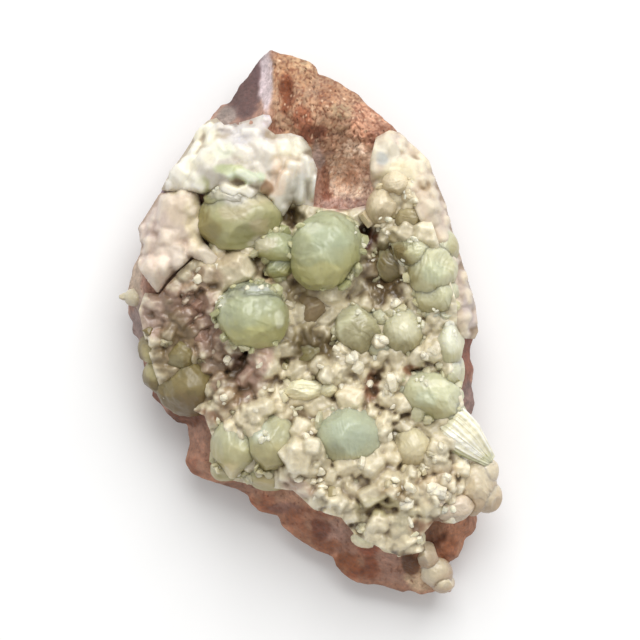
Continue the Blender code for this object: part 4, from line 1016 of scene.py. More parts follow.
# %% Left plate
PLATE_OUTLINE = [
    (-25.2, 21.8), (-21.0, 22.2), (-18.6, 21.6), (-17.9, 19.0), (-18.0, 16.0), (-17.6, 13.6),
    (-15.0, 10.6), (-14.4, 9.4), (-15.6, 8.9), (-18.4, 10.4), (-19.6, 10.9), (-21.6, 9.2), (-23.8, 7.0),
    (-25.4, 4.9), (-26.6, 6.4), (-28.6, 9.4), (-28.2, 12.8), (-28.9, 16.0), (-27.2, 18.6),
]
PLATE_ZONES = [
    (-26.0, 17.0, 2.6, 4.0, (200, 180, 168), 0.9), (-21.0, 19.0, 3.0, 3.0, (206, 188, 164), 0.9),
    (-19.0, 16.5, 1.6, 4.5, (220, 206, 172), 0.9), (-22.5, 13.0, 2.6, 3.0, (212, 196, 178), 0.9),
    (-24.5, 8.5, 1.5, 4.0, (224, 206, 188), 0.9), (-27.0, 10.5, 1.3, 3.0, (208, 188, 172), 0.8),
    (-21.0, 10.6, 1.4, 1.4, (228, 214, 198), 0.8), (-21.5, 22.0, 3.0, 0.8, (190, 180, 142), 0.7),
    (-16.2, 10.6, 2.2, 2.2, (232, 224, 202), 0.9),
]


def plate_top(x, y):
    """Softened rock plus a thickness that comes in over 2.2 mm, and waves four times as long along the
    streaks as across them."""
    rim = rim_share(x, y, PLATE_OUTLINE, 2.2)
    drawn = on_plan(x * 0.78 - y * 0.62, (x * 0.62 + y * 0.78) / 4)
    flat = on_plan(x, y)
    relief = 0.5 * rough(drawn, 2.0, 3, 75) + 0.6 * rough(flat, 4.0, 2, 76) + 0.1 * rough(flat, 0.9, 2, 77)
    return soft_top(x, y, CRUST_REACH) + 4.9 * (0.25 + 0.75 * np.sqrt(1 - rim ** 2)) + relief


plate_field = field_over(PLATE_OUTLINE, plate_top)
plan = strewn(PLATE_OUTLINE, 1.5, 0.7, draw)
scatter(plate_field, plan, plate_top, 1.5, 0.25, (0.5, 1.0), 0.35, -1.35, 26)
spread = 7
starts = np.tile((-18.2, 12.2, 21.6), (spread, 1)) + draw.normal(0, 0.2, (spread, 3))
ends = np.column_stack([
    np.linspace(-16.4, -14.2, spread), np.linspace(8.6, 11.2, spread), np.full(spread, 19.4)])
middles, halves, matrices = pointed(starts, ends, draw)
stamp(plate_field, middles, np.column_stack([0 * halves + 0.5, 0 * halves + 0.4, halves]), matrices, 27)
plate_field[2] = softened(plate_field, 0.6, 4)
# The last two colours are painted shade, with some dirt, in the recesses and painted light on the raised
# crystals.
skin, tint = grown(
    plate_field, PLATE_OUTLINE, (202, 184, 168), PLATE_ZONES, dirt_and_shade=(160, 134, 112), painted_light=(222, 208, 190))
piece("left_plate_sheet", skin, tint, BEIGE, "beige_crust", "left_plate")

# %% [markdown]
# The right crust is a band a few millimetres wide that runs down the edge, with blocky knobs of cream
# crystals at its upper end. Its inner side sinks into the crystals of the hollow.

# %% Right crust
RIGHT_OUTLINE = [
    (11.2, 31.0), (13.4, 32.2), (15.2, 32.0), (16.9, 30.2), (18.7, 28.6), (20.1, 27.2), (20.9, 25.0),
    (21.9, 22.7), (22.9, 20.3), (23.5, 17.8), (24.2, 15.4), (24.8, 13.0), (25.9, 10.0), (27.3, 5.5),
    (28.0, 3.0), (28.5, -1.5), (27.9, -2.8), (25.2, -2.6), (23.8, 0.5), (23.6, 4.0), (22.2, 9.0),
    (20.2, 14.5), (18.4, 17.0), (16.8, 21.0), (14.4, 21.6), (11.4, 21.4), (10.4, 24.0), (10.2, 27.0),
]
RIGHT_ZONES = [
    (22.5, 20.0, 1.6, 6.0, (196, 178, 162), 0.9), (25.3, 11.0, 1.4, 6.0, (190, 172, 158), 0.9),
    (27.2, 3.0, 1.4, 5.0, (184, 170, 162), 0.9), (13.5, 28.5, 2.8, 2.4, (222, 214, 194), 0.9),
    (12.0, 27.2, 1.4, 1.2, (190, 192, 188), 0.8), (18.5, 26.8, 2.4, 1.6, (224, 214, 190), 0.9),
    (16.0, 30.6, 2.2, 0.9, (206, 188, 172), 0.8), (22.8, 11.0, 1.2, 3.4, (200, 178, 150), 0.7),
    (15.0, 24.4, 3.6, 2.4, (218, 208, 176), 0.9), (19.2, 23.0, 1.3, 1.0, (150, 124, 88), 0.7),
    (20.8, 18.4, 1.3, 2.6, (196, 182, 160), 0.8),
]


def right_top(x, y):
    """Softened rock plus a thickness that comes in over 2.4 mm, and swells. The edge itself is thicker at
    the right."""
    dome = np.sqrt(1 - rim_share(x, y, RIGHT_OUTLINE, 2.4) ** 2)
    share = 0.12 + 0.3 * smooth_step(x - 18, 0, 5)
    swells = 0.45 * rough(on_plan(x, y), 3.4, 3, 73)
    return soft_top(x, y, CRUST_REACH) + 2.9 * (share + (1 - share) * dome) + swells


right_field = field_over(RIGHT_OUTLINE, right_top)
plan = strewn(RIGHT_OUTLINE, 1.5, 0.7, draw)
scatter(right_field, plan, right_top, 1.5, 0.25, (0.5, 1.0), 0.45, -1.0, 28)
knobs = plan[(plan[:, 0] < 20) & (plan[:, 1] > 20)]
scatter(right_field, knobs, right_top, 1.2, 0.3, (0.5, 1.0), 0.7, -0.2, 29)
plan = strewn(RIGHT_OUTLINE, 1.0, 0.6, draw)
border = plan[inside(*plan.T, RIGHT_OUTLINE) < 3.0]
scatter(right_field, border, right_top, 0.7, 0.3, (0.4, 0.9), 0.7, -0.35, 30)
right_field[2] = softened(right_field, 0.6, 3)
# The last two colours are painted shade, with some dirt, in the recesses and painted light on the raised
# crystals.
skin, tint = grown(
    right_field, RIGHT_OUTLINE, (196, 178, 156), RIGHT_ZONES, dirt_and_shade=(142, 116, 88), painted_light=(220, 208, 184))
piece("right_crust_sheet", skin, tint, BEIGE, "beige_crust", "right_crust")

# %% [markdown]
# ## Balls and lobes
# Prehnite grows as balls of curved plates that fan out from a point. So a lobe starts as a ball, a few
# planes flatten it, and leaves run over it: low steps along lines of equal angle to an axis, bent by noise,
# each step with a long rise and a short fall, like the edges of overlapping petals.

# %% Lobe maker
def leaves(out, axis, spacing, seed):
    """A saw tooth from 0 to 1 over the angle to the axis, whose fall takes the last third of each tooth."""
    angle = np.arccos(np.clip(out @ (axis / np.linalg.norm(axis)), -1, 1))
    tooth = angle / spacing + 0.9 * waves(out, 0.75, seed) + 0.25 * waves(out, 0.3, seed + 1)
    tooth -= np.floor(tooth)
    return tooth * (1 - smooth_step(tooth, 0.62, 1.0))


def lobe(x, y, z, half_x, half_y, half_z, turn, planes, cut, leaf, seed):
    """For each direction the radius is 1, or less where a plane cuts it: the plane's distance over the
    cosine of the angle to it. The soft minimum is -log(sum of exp(-k r)) / k. Leaves, given by an axis,
    a spacing and a height, and waves come on top. The ball is then stretched, turned and moved."""
    draw = np.random.default_rng(seed)
    largest = max(half_x, half_y, half_z)
    around = int(np.clip(2 * math.pi * largest / STEP, 40, 220)) // 2 * 2
    rows = around // 2
    tilt = np.arange(rows + 2) / (rows + 1) * math.pi
    spin = np.arange(around) / around * 2 * math.pi
    ring = np.stack([
        np.sin(tilt)[1:-1, None] * np.cos(spin),
        np.sin(tilt)[1:-1, None] * np.sin(spin),
        np.broadcast_to(np.cos(tilt)[1:-1, None], (rows, around)),
    ], -1)
    out = np.concatenate([[(0, 0, 1)], ring.reshape(-1, 3), [(0, 0, -1)]])
    normals = draw.normal(size=(planes, 3))
    normals /= np.linalg.norm(normals, axis=1)[:, None]
    reach = draw.uniform(0.84, 0.95, planes)
    bent = out + 0.05 * np.stack([waves(out, 0.8, seed + k) for k in (5, 6, 7)], -1)
    meet = reach / np.maximum(bent @ normals.T, 0.1)
    sharp = 110
    soft = -np.log(np.exp(-sharp * meet).sum(axis=1) + math.exp(-sharp)) / sharp
    axis, spacing, height = leaf or (draw.normal(size=3) + (0, 0.6, 0), 0.4, 0.036)
    mask = smooth_step(waves(out, 0.9, seed + 2), -0.5, 0.5)
    steps = height * mask * leaves(out, np.asarray(axis, float), spacing, seed + 3)
    steps += 0.35 * height * leaves(out, draw.normal(size=3), 0.45 * spacing, seed + 4)
    radius = 1 + cut * (soft - 1) + steps - 0.5 * height
    radius += 0.08 * waves(out, 0.8, seed + 8) + 0.015 * rough(out * 5, 1.0, 3, seed + 9)
    place = out * radius[:, None] * (half_x, half_y, half_z)
    angle = math.radians(turn)
    c, s = math.cos(angle), math.sin(angle)
    place = place @ np.array([(c, s, 0), (-s, c, 0), (0, 0, 1)]) + (x, y, z)
    return closed_rings(place[0], place[1:-1].reshape(rows, around, 3), place[-1]), out, steps / height


skin, _, _ = lobe(0, 0, 0, 5, 5, 5, 0, 10, 1.0, None, 1)
print("a ball with a radius of 5 mm:", len(skin[0]), "points,", round(volume(*skin)), "cubic millimetres")

# %% [markdown]
# Some crests are paler, as painted highlights and partly as dust, and some feet and the steep side of the
# ridge plates are darker, as painted shade, so the balls have zones too.

# %% Colours of the balls
# The palest zones, such as the bands on the crests of the left and lower left balls, are painted highlights;
# (14.0, 9.8) on the steep side of the ridge plates and (-19.4, -13.6) on the shaded balls are painted shade.
BALL_ZONES = [
    (-13.0, 21.6, 4.0, 1.8, (222, 212, 182), 0.95), (-9.0, 20.6, 2.4, 1.0, (208, 198, 164), 0.8),
    (-12.4, 18.4, 3.0, 1.6, (190, 178, 146), 0.7), (-16.8, 15.6, 2.0, 3.0, (140, 128, 78), 0.8),
    (-8.0, 16.0, 2.0, 1.8, (176, 160, 128), 0.6), (-7.2, 13.2, 2.6, 1.5, (202, 194, 168), 0.8),
    (0.2, 15.6, 1.8, 1.0, (206, 210, 186), 0.8), (3.6, 13.6, 3.0, 1.8, (170, 178, 148), 0.6),
    (2.0, 8.0, 4.0, 1.8, (184, 178, 122), 0.7), (-8.6, 5.6, 2.4, 0.5, (226, 228, 210), 0.7),
    (-14.4, 3.6, 0.7, 1.5, (216, 218, 196), 0.8), (-9.4, -2.4, 4.0, 1.6, (176, 172, 116), 0.7),
    (-5.0, 0.6, 0.7, 1.6, (214, 214, 190), 0.6), (8.2, -2.0, 3.4, 3.0, (150, 142, 106), 0.7),
    (16.2, -0.6, 2.6, 2.6, (206, 202, 174), 0.8), (14.0, 9.8, 2.4, 3.6, (118, 104, 66), 0.9),
    (20.5, 12.6, 2.6, 1.4, (206, 204, 172), 0.8), (20.8, 8.4, 2.2, 2.2, (188, 192, 160), 0.7),
    (18.6, 5.0, 2.4, 1.8, (206, 202, 166), 0.7), (6.0, -18.4, 3.4, 3.0, (172, 180, 156), 0.6),
    (6.4, -23.2, 3.6, 0.9, (198, 192, 150), 0.7), (-8.4, -17.4, 1.2, 2.2, (198, 202, 178), 0.8),
    (-7.6, -18.9, 1.0, 0.8, (232, 234, 220), 0.9), (-13.6, -24.6, 1.8, 1.6, (204, 190, 150), 0.8),
    (-6.6, -26.4, 3.0, 1.4, (178, 160, 114), 0.7), (-19.4, -13.6, 4.0, 2.0, (120, 100, 68), 0.7),
    (-26.6, -5.0, 1.6, 2.6, (160, 146, 112), 0.8), (-22.0, -6.8, 1.6, 2.0, (136, 128, 96), 0.6),
    (-26.2, -6.0, 1.8, 3.4, (184, 174, 128), 0.8), (19.6, -12.8, 2.0, 1.4, (190, 194, 166), 0.7),
    (20.6, -10.2, 3.0, 0.7, (226, 224, 196), 0.8), (23.6, -2.4, 1.3, 2.6, (222, 222, 200), 0.8),
]
LEAF_EDGE_HIGHLIGHT = (224, 222, 198)


def lobe_tint(points, out, steps, top, low, seed):
    """The top colour where the skin faces up and towards the window light, as painted light, the low colour
    where it faces away, as painted shade, with clouds a few millimetres wide between them. The edges of the
    leaves are paler, as painted highlights."""
    # The side facing the window light takes the top colour as painted light, the far side the low colour as
    # painted shade.
    up = out @ np.array((0.0, 0.8, 0.5)) + 0.25 * rough(points, 3.5, 3, seed)
    tint = mixed(low, top, smooth_step(up, -0.35, 0.7))
    # Paler leaf edges are painted highlights.
    tint = mixed(tint, LEAF_EDGE_HIGHLIGHT, 0.3 * smooth_step(steps, 0.5, 1.1))
    return mottled(painted(points, tint, BALL_ZONES), points, 1.6, 0.03, seed + 1)


print("places with a colour of their own on the balls:", len(BALL_ZONES))

# %% [markdown]
# The table gives each solid's lobes in millimetres: middle, half sizes and turn, then the number of planes
# and how deep they cut. The two colours belong to the whole solid: the top colour, for the side facing the
# window light, is lighter as painted light, and the low colour, for the far side, darker as painted shade. A
# second table gives some solids leaves of their own: the axis, the spacing in radians and the height as a
# share of the radius.

# %% Lobe tables
GREEN = ((168, 172, 138), (164, 160, 106))
OLIVE = ((122, 112, 68), (104, 92, 48))
LOBES = {
    "upper_ball": (((176, 172, 132), (150, 146, 96)), "green", [
        (-12.0, 17.6, 17.8, 7.5, 6.3, 7.2, 0, 11, 1.3), (-12.6, 20.4, 20.2, 5.4, 3.0, 4.0, -12, 9, 1.3)]),
    "centre_balls": (GREEN, "green", [
        (2.8, 11.9, 20.2, 6.3, 6.7, 7.0, 0, 14, 0.8), (-5.4, 12.6, 18.6, 4.6, 2.7, 4.6, -8, 12, 0.9),
        (-4.6, 9.6, 17.4, 3.0, 2.2, 4.0, 20, 10, 1.0)]),
    "left_ball": (GREEN, "green", [
        (-9.6, 0.9, 20.0, 6.3, 5.7, 6.6, 0, 14, 0.7), (-9.4, 3.9, 19.4, 5.2, 3.0, 5.6, 0, 10, 0.8)]),
    "lower_ball": (((176, 182, 156), (180, 178, 140)), "green", [
        (6.5, -19.0, 17.0, 6.1, 5.3, 6.6, 0, 12, 0.8)]),
    "dome_ball": (((198, 198, 164), (182, 176, 134)), "green", [
        (20.5, -12.2, 16.6, 5.6, 4.2, 6.0, -18, 12, 1.0), (17.0, -11.4, 15.0, 3.0, 3.0, 4.2, 0, 10, 1.0),
        (23.6, -14.8, 15.0, 3.4, 2.4, 4.0, -30, 10, 1.0)]),
    "right_balls": (((190, 188, 156), (162, 152, 112)), "green", [
        (8.3, -1.2, 17.0, 4.4, 4.4, 5.4, 0, 12, 1.0), (15.9, -1.4, 17.6, 3.7, 4.3, 5.2, 0, 11, 1.0),
        (12.2, -4.4, 16.0, 2.8, 2.4, 4.2, 0, 10, 1.0), (12.2, 0.6, 15.8, 2.4, 2.4, 4.2, 0, 10, 1.0)]),
    "ridge_plates": (((194, 192, 158), (168, 158, 114)), "green", [
        (17.6, 11.9, 18.6, 4.0, 3.0, 6.0, -30, 9, 1.2), (20.4, 9.0, 18.8, 4.4, 4.8, 6.4, -15, 9, 1.2),
        (21.2, 4.6, 18.0, 4.0, 4.0, 5.6, -25, 9, 1.2), (14.0, 9.8, 15.2, 4.0, 3.8, 4.0, 0, 10, 1.2),
        (22.4, 12.6, 17.4, 2.6, 3.6, 4.6, 20, 8, 1.2)]),
    "column_ball": (((208, 206, 178), (190, 184, 146)), "green", [
        (23.4, -3.4, 16.2, 2.7, 4.6, 5.4, 0, 10, 1.0), (20.8, 1.3, 17.2, 1.9, 1.8, 4.2, 0, 9, 1.0),
        (23.8, -8.2, 15.2, 2.4, 3.2, 4.6, 0, 9, 1.0),
        (22.8, 1.4, 17.0, 1.8, 1.8, 4.4, 0, 9, 1.0)]),
    "lower_left_balls": (((180, 178, 144), (166, 154, 106)), "green", [
        (-6.4, -20.0, 15.2, 4.8, 6.0, 6.2, 8, 12, 0.9), (-12.2, -20.2, 13.8, 4.6, 6.2, 6.2, -8, 12, 0.9),
        (-14.2, -24.8, 11.4, 2.6, 2.2, 3.2, 0, 9, 1.0), (-6.4, -25.6, 12.6, 4.2, 2.8, 4.0, 0, 10, 0.9),
        (-11.0, -15.6, 13.8, 3.2, 2.8, 4.6, 0, 9, 1.0)]),
    "lower_small_ball": (((180, 170, 132), (158, 142, 102)), "olive", [
        (7.2, -27.2, 14.0, 4.3, 3.4, 4.8, 0, 10, 1.0)]),
    # The middle balls and the shaded balls sit low in the hollow, and their colours are darkened as painted
    # shade.
    "middle_upper_ball": (((140, 120, 86), (124, 104, 70)), "olive", [
        (0.4, 2.4, 14.8, 3.6, 4.2, 4.4, 0, 10, 1.0)]),
    "middle_lower_ball": (OLIVE, "olive", [(0.0, -5.4, 13.8, 5.5, 3.8, 4.8, 0, 10, 1.0)]),
    "shaded_balls": (((128, 114, 70), (106, 88, 48)), "olive", [
        (-20.4, -10.8, 11.0, 5.8, 5.2, 6.0, 0, 11, 0.9), (-21.2, -5.4, 11.8, 4.2, 4.0, 5.0, 0, 10, 1.0),
        (-26.0, -4.4, 9.8, 3.2, 3.2, 4.0, 0, 9, 1.1), (-25.2, -9.0, 9.4, 3.0, 3.6, 4.0, 0, 9, 1.1)]),
    "olive_ball": (((176, 162, 124), (150, 134, 94)), "green", [
        (17.0, 17.4, 18.4, 3.2, 2.7, 4.4, 0, 9, 1.0)]),
    "edge_fingers": (((208, 194, 166), (178, 156, 128)), "cream", [
        (27.9, -27.6, 12.4, 3.8, 5.0, 3.8, 0, 9, 1.5), (29.4, -25.6, 12.0, 2.6, 3.2, 3.2, -20, 8, 1.2),
        (29.8, -29.2, 11.8, 2.7, 3.2, 3.2, 10, 8, 1.2)]),
    "pearl_lobe": (((214, 198, 176), (186, 166, 140)), "cream", [
        (23.9, -31.1, 14.4, 4.1, 2.6, 3.6, 8, 10, 0.7)]),
    "cream_mass": (((238, 234, 200), (214, 202, 168)), "cream", [
        (11.0, -33.2, 14.0, 3.5, 2.2, 3.8, 0, 10, 0.8), (14.0, -36.2, 13.0, 4.5, 2.9, 3.9, -10, 10, 1.0),
        (17.6, -36.4, 13.2, 2.2, 2.0, 3.0, 0, 9, 1.0), (9.6, -36.4, 11.8, 2.6, 1.8, 3.0, 0, 9, 1.0)]),
    "corner_knobs": (((204, 190, 162), (172, 146, 118)), "cream", [
        (19.6, -39.4, 10.0, 2.3, 3.0, 3.4, 35, 8, 1.6), (21.4, -42.2, 8.8, 2.6, 3.2, 3.4, 50, 8, 1.6),
        (22.6, -44.2, 8.2, 2.1, 1.9, 3.0, 0, 8, 1.3)]),
    "middle_cushion": (((236, 230, 196), (212, 200, 162)), "cream", [
        (-0.6, -11.2, 15.6, 4.6, 2.2, 4.6, 4, 10, 1.0), (3.2, -11.0, 15.6, 2.2, 2.0, 4.4, 0, 9, 1.1),
        (-0.2, -14.6, 14.4, 3.0, 2.4, 3.2, 0, 9, 1.1)]),
    "lower_right_lobes": (((206, 196, 162), (176, 160, 124)), "cream", [
        (17.4, -21.0, 15.6, 4.2, 4.0, 4.6, 0, 10, 1.1), (13.0, -24.2, 15.0, 2.7, 2.9, 4.2, 0, 9, 1.1),
        (19.8, -24.0, 14.6, 2.8, 2.4, 3.8, 0, 9, 1.1)]),
    "upper_right_knobs": (((214, 200, 170), (182, 164, 130)), "cream", [
        (12.2, 19.4, 18.8, 2.7, 3.5, 4.6, -20, 8, 1.3), (14.4, 23.0, 19.0, 2.6, 2.6, 4.6, 0, 8, 1.3),
        (16.8, 21.2, 18.8, 2.1, 2.1, 4.2, 0, 8, 1.3)]),
    "mauve_lumps": (((168, 134, 116), (142, 108, 88)), "mauve", [
        (-18.0, 3.4, 13.6, 2.8, 3.0, 4.2, 25, 8, 1.3), (-17.3, -2.4, 13.6, 2.9, 2.9, 4.2, 0, 8, 1.2),
        (-21.8, 3.2, 12.8, 2.4, 2.4, 3.8, 0, 8, 1.3), (-17.8, 0.6, 13.8, 2.4, 2.4, 3.0, 0, 8, 1.3)]),
    "left_tips": (((208, 198, 170), (186, 172, 146)), "cream", [
        (-29.4, 4.2, 9.8, 1.9, 1.6, 2.4, 0, 8, 1.1), (-30.8, 4.4, 9.6, 1.5, 0.7, 1.0, 0, 8, 1.1)]),
}
FINISHES = {
    "green": (PREHNITE, "green_prehnite"), "olive": (OLIVE_PREHNITE, "olive_prehnite"),
    "cream": (CREAM, "cream_crystals"), "mauve": (MAUVE, "mauve_crystals"),
}
LEAVES = {
    "lower_ball": ((1, 0.15, 0.1), 0.17, 0.026), "centre_balls": ((-0.5, -0.6, 0.3), 0.5, 0.036),
    "left_ball": ((0.3, 1, 0.2), 0.5, 0.03), "ridge_plates": ((1, 0.8, 0.2), 0.4, 0.05),
    "lower_left_balls": ((1, 0.2, 0.4), 0.5, 0.03), "pearl_lobe": ((0.1, 1, 0), 0.3, 0.04),
    "dome_ball": ((0.7, 0.9, 0.2), 0.4, 0.03), "shaded_balls": ((1, 0.5, 0.3), 0.5, 0.03),
    "upper_ball": ((0.2, 0.7, 0.7), 0.5, 0.034),
}
print("lobes:", sum(len(lobes) for _, _, lobes in LOBES.values()), "in", len(LOBES), "pieces")

# %% [markdown]
# Each solid's lobes become one mesh, which takes the solid's place. A seed of its own makes each lobe
# different from all others, and the same in every run.

# %% Lobes
def lobe_seed(number, i):
    """The seed of the i-th lobe of the solid with the given number."""
    return 100 + 7 * number + i


for number, (node, ((top, low), kind, lobes)) in enumerate(LOBES.items()):
    skins = []
    tints = []
    for i, entry in enumerate(lobes):
        seed = lobe_seed(number, i)
        skin, out, steps = lobe(*entry, LEAVES.get(node), seed)
        skins.append(skin)
        tints.append(lobe_tint(skin[0], out, steps, top, low, seed))
    material, slot = FINISHES[kind]
    piece(node + "_form", joined(skins), np.concatenate(tints), material, slot, node)

# %% [markdown]
# ## The hollow
# Between the balls lies a crust of small crystals. It rises in mounds where crystals crowd, sinks in gaps
# that are painted dark as shade, and climbs a little against the balls. The same height function places every
# crystal.

# %% Height of the crystal crust
# x and y of each mound's middle, and its rise
MOUNDS = np.array([
    (9.5, 22.0, 2.2), (12.6, 15.0, 2.0), (14.4, 4.2, 2.6), (11.0, 4.5, 1.8), (9.6, 8.8, 1.8),
    (2.4, -8.2, 3.6), (5.0, -9.2, 3.4), (5.2, -5.8, 2.4), (7.8, -6.6, 3.0), (8.6, -11.0, 3.0),
    (12.6, -11.6, 2.8), (15.0, -9.0, 3.4), (19.4, -5.6, 3.2), (13.8, -15.9, 3.6), (12.6, -18.6, 3.2),
    (-0.6, -18.6, 4.0), (0.9, -20.9, 4.8), (-1.8, -22.0, 4.2), (0.6, -24.0, 3.6), (-1.6, -25.0, 2.8),
    (1.7, -28.4, 3.2), (3.6, -31.0, 2.2), (13.6, -27.2, 2.8), (17.2, -27.2, 3.6), (15.0, -29.4, 2.4),
    (20.8, -28.8, 2.6), (23.2, -26.6, 3.0), (21.4, -22.4, 3.2), (16.2, -31.4, 2.2), (-13.9, -12.6, 3.4),
    (-7.8, -7.0, 3.4), (-13.4, -5.8, 2.6), (-16.2, 8.6, 3.2), (-18.6, 7.4, 2.6), (-12.2, 9.6, 3.0),
    (-9.8, -15.2, 2.4), (-7.8, -12.0, 2.6), (9.0, -15.0, 2.4), (10.0, -23.0, 2.0), (12.2, -3.6, 2.8),
])
# x and y of each gap's middle, and its half width
PITS = np.array([
    (10.2, 14.4, 1.5), (-2.5, 17.8, 1.4), (-11.0, -4.8, 1.5), (-13.2, -8.6, 1.3), (-12.0, -12.4, 1.0),
    (10.2, -12.0, 1.2), (10.6, -9.0, 1.0), (14.2, -18.6, 1.3), (16.4, -16.0, 0.9), (15.4, -11.6, 0.9),
    (11.6, 8.0, 2.4), (17.0, -7.8, 1.2), (16.6, -40.4, 1.2), (27.6, -29.6, 0.9), (-6.4, 9.4, 1.0),
])
MOUND_WIDE = 1.8
GAP_DEPTH = 3.4


def lobe_reach(x, y, entry):
    """How far a plan place is from a lobe's middle, as a share of its outline in plan."""
    middle_x, middle_y, _, half_x, half_y, _, turn, _, _ = entry
    angle = math.radians(turn)
    along = (x - middle_x) * math.cos(angle) + (y - middle_y) * math.sin(angle)
    across = (y - middle_y) * math.cos(angle) - (x - middle_x) * math.sin(angle)
    return np.sqrt((along / half_x) ** 2 + (across / half_y) ** 2)


ALL_LOBES = [entry for _, _, lobes in LOBES.values() for entry in lobes]


def lobe_height(x, y):
    """The highest lobe's height at each plan place, or 0 where there is none."""
    height = np.zeros(len(x))
    for entry in ALL_LOBES:
        rise = np.sqrt(np.maximum(0, 1 - lobe_reach(x, y, entry) ** 2))
        height = np.maximum(height, np.where(rise > 0, entry[2] + entry[5] * rise, 0))
    return height


def hollow_top(x, y):
    """Rock, plus 1.4 mm, plus a bell curve for each mound, less one for each gap, plus a collar where the
    place is near a large lobe's outline, plus waves."""
    height = soft_top(x, y, 1.2) + 1.4
    for middle_x, middle_y, rise in MOUNDS:
        height += 0.7 * rise * bell(x, y, middle_x, middle_y, MOUND_WIDE, MOUND_WIDE)
    collar = np.zeros(len(x))
    for entry in ALL_LOBES:
        if min(entry[3:5]) > 2.4:
            collar = np.maximum(collar, np.exp(-((lobe_reach(x, y, entry) - 1.0) / 0.22) ** 2))
    height += 1.3 * collar
    for middle_x, middle_y, wide in PITS:
        height -= GAP_DEPTH * bell(x, y, middle_x, middle_y, wide, wide)
    return height + 0.6 * rough(on_plan(x, y), 2.6, 3, 90)


print("height of the crust in the middle:", hollow_top(np.zeros(1), np.zeros(1)).round(1))

# %% [markdown]
# The crust itself is a field like the others, with three layers: large crystals everywhere, small ones
# between them that leave the gaps open, and clusters on the mounds. A last fine noise takes away the look of
# cut blocks. The colours turn from cream to mauve in the pocket at the left, darkened there as painted shade,
# and to brown in the gaps and on the steep face beside the ridge plates, as painted shade.

# %% The crystal crust
# Besides the cream and mauve of the crystals, the dark zones in the pocket at the left, in the gaps, by the
# middle balls and beside the ridge plates are painted shade.
HOLLOW_ZONES = [
    (-20.0, 1.0, 8.0, 6.5, (150, 120, 102), 0.95), (-11.8, -6.4, 2.0, 2.8, (84, 60, 48), 0.9),
    (-10.8, -9.6, 2.2, 3.0, (148, 116, 100), 0.8), (-12.2, -12.2, 1.0, 1.8, (116, 90, 66), 0.9),
    (-17.5, 7.0, 4.0, 2.2, (162, 138, 112), 0.8), (-25.0, 1.0, 3.0, 3.0, (140, 118, 102), 0.8),
    (9.8, 14.2, 2.2, 2.2, (92, 58, 42), 1.0), (-2.5, 18.0, 1.9, 1.4, (84, 70, 42), 1.0),
    (10.4, -10.8, 1.5, 2.4, (128, 90, 68), 0.9), (17.0, -7.8, 1.5, 1.0, (140, 102, 76), 0.9),
    (14.2, -18.8, 1.4, 0.9, (92, 80, 46), 1.0), (12.2, 7.4, 3.6, 4.6, (92, 74, 48), 1.0),
    (0.6, -3.8, 4.4, 3.2, (104, 88, 56), 0.9), (-1.0, 5.6, 3.4, 2.4, (136, 118, 84), 0.9),
    (-5.0, 8.6, 4.0, 1.8, (168, 142, 110), 0.9), (14.0, -29.0, 3.4, 2.0, (158, 136, 100), 0.8),
    (22.0, -27.0, 4.0, 3.0, (196, 178, 148), 0.8), (12.0, -30.6, 4.0, 2.0, (188, 178, 136), 0.8),
    (17.0, -33.0, 3.0, 2.0, (200, 190, 158), 0.8), (-2.0, -28.0, 3.0, 2.0, (180, 152, 132), 0.8),
    (-8.4, -6.6, 2.4, 3.2, (184, 152, 134), 0.9), (-13.6, -12.8, 2.0, 2.4, (146, 120, 90), 0.9),
    (-20.0, -16.0, 5.0, 1.4, (120, 88, 62), 0.9), (13.0, 12.0, 2.0, 3.0, (112, 98, 60), 0.9),
    (-23.0, -5.0, 4.0, 8.0, (122, 102, 68), 0.8), (-26.4, 1.0, 2.4, 3.4, (168, 142, 126), 0.9),
    (-15.6, -7.0, 2.4, 4.0, (130, 104, 82), 0.8), (6.0, 19.6, 4.6, 1.1, (190, 160, 148), 0.9),
    (-13.0, 10.6, 2.4, 1.6, (200, 182, 150), 0.8), (20.4, -34.4, 3.0, 1.6, (122, 86, 60), 0.8),
    (16.6, -40.2, 1.6, 1.4, (104, 76, 52), 0.9),
]


def on_mounds(count, draw):
    """Plan places round the mounds' middles, the given number for each, less those near the outline."""
    spots = np.repeat(MOUNDS[:, :2], count, axis=0) + draw.normal(0, 1.2, (count * len(MOUNDS), 2))
    return spots[inside(*spots.T, HOLLOW_OUTLINE) > 0.4]


hollow_field = field_over(HOLLOW_OUTLINE, hollow_top)
draw = np.random.default_rng(7)
plan = strewn(HOLLOW_OUTLINE, 2.3, 0.3, draw)
count = scatter(hollow_field, plan, hollow_top, 2.0, 0.2, (0.45, 0.8), 0.8, -0.35, 31)
plan = strewn(HOLLOW_OUTLINE, 1.6, 0.3, draw)
open_places = np.linalg.norm(plan[:, None] - PITS[:, :2], axis=2).min(axis=1) > 0.9
count += scatter(hollow_field, plan[open_places], hollow_top, 1.0, 0.3, (0.3, 0.75), 0.9, 0.3, 32)
spots = on_mounds(9, draw)
count += scatter(hollow_field, spots, hollow_top, 0.85, 0.25, (0.4, 0.85), 1.0, 1.1, 33)
hollow_field[2] = softened(hollow_field, 0.5, 2)
nodes = np.stack(np.meshgrid(hollow_field[0], hollow_field[1], [0], indexing="ij"), -1).reshape(-1, 3)
hollow_field[2] = hollow_field[2] + 0.14 * rough(nodes, 0.9, 3, 34)
# The last two colours are painted shade, with some dirt, in the recesses and painted light on the raised
# crystals.
skin, tint = grown(
    hollow_field, HOLLOW_OUTLINE, (202, 190, 160), HOLLOW_ZONES, dirt_and_shade=(98, 78, 54), painted_light=(238, 230, 206),
    vary=0.08)
print("crystals in the hollow:", count)
piece("hollow_crust", skin, tint, CREAM, "cream_crystals", "druse")
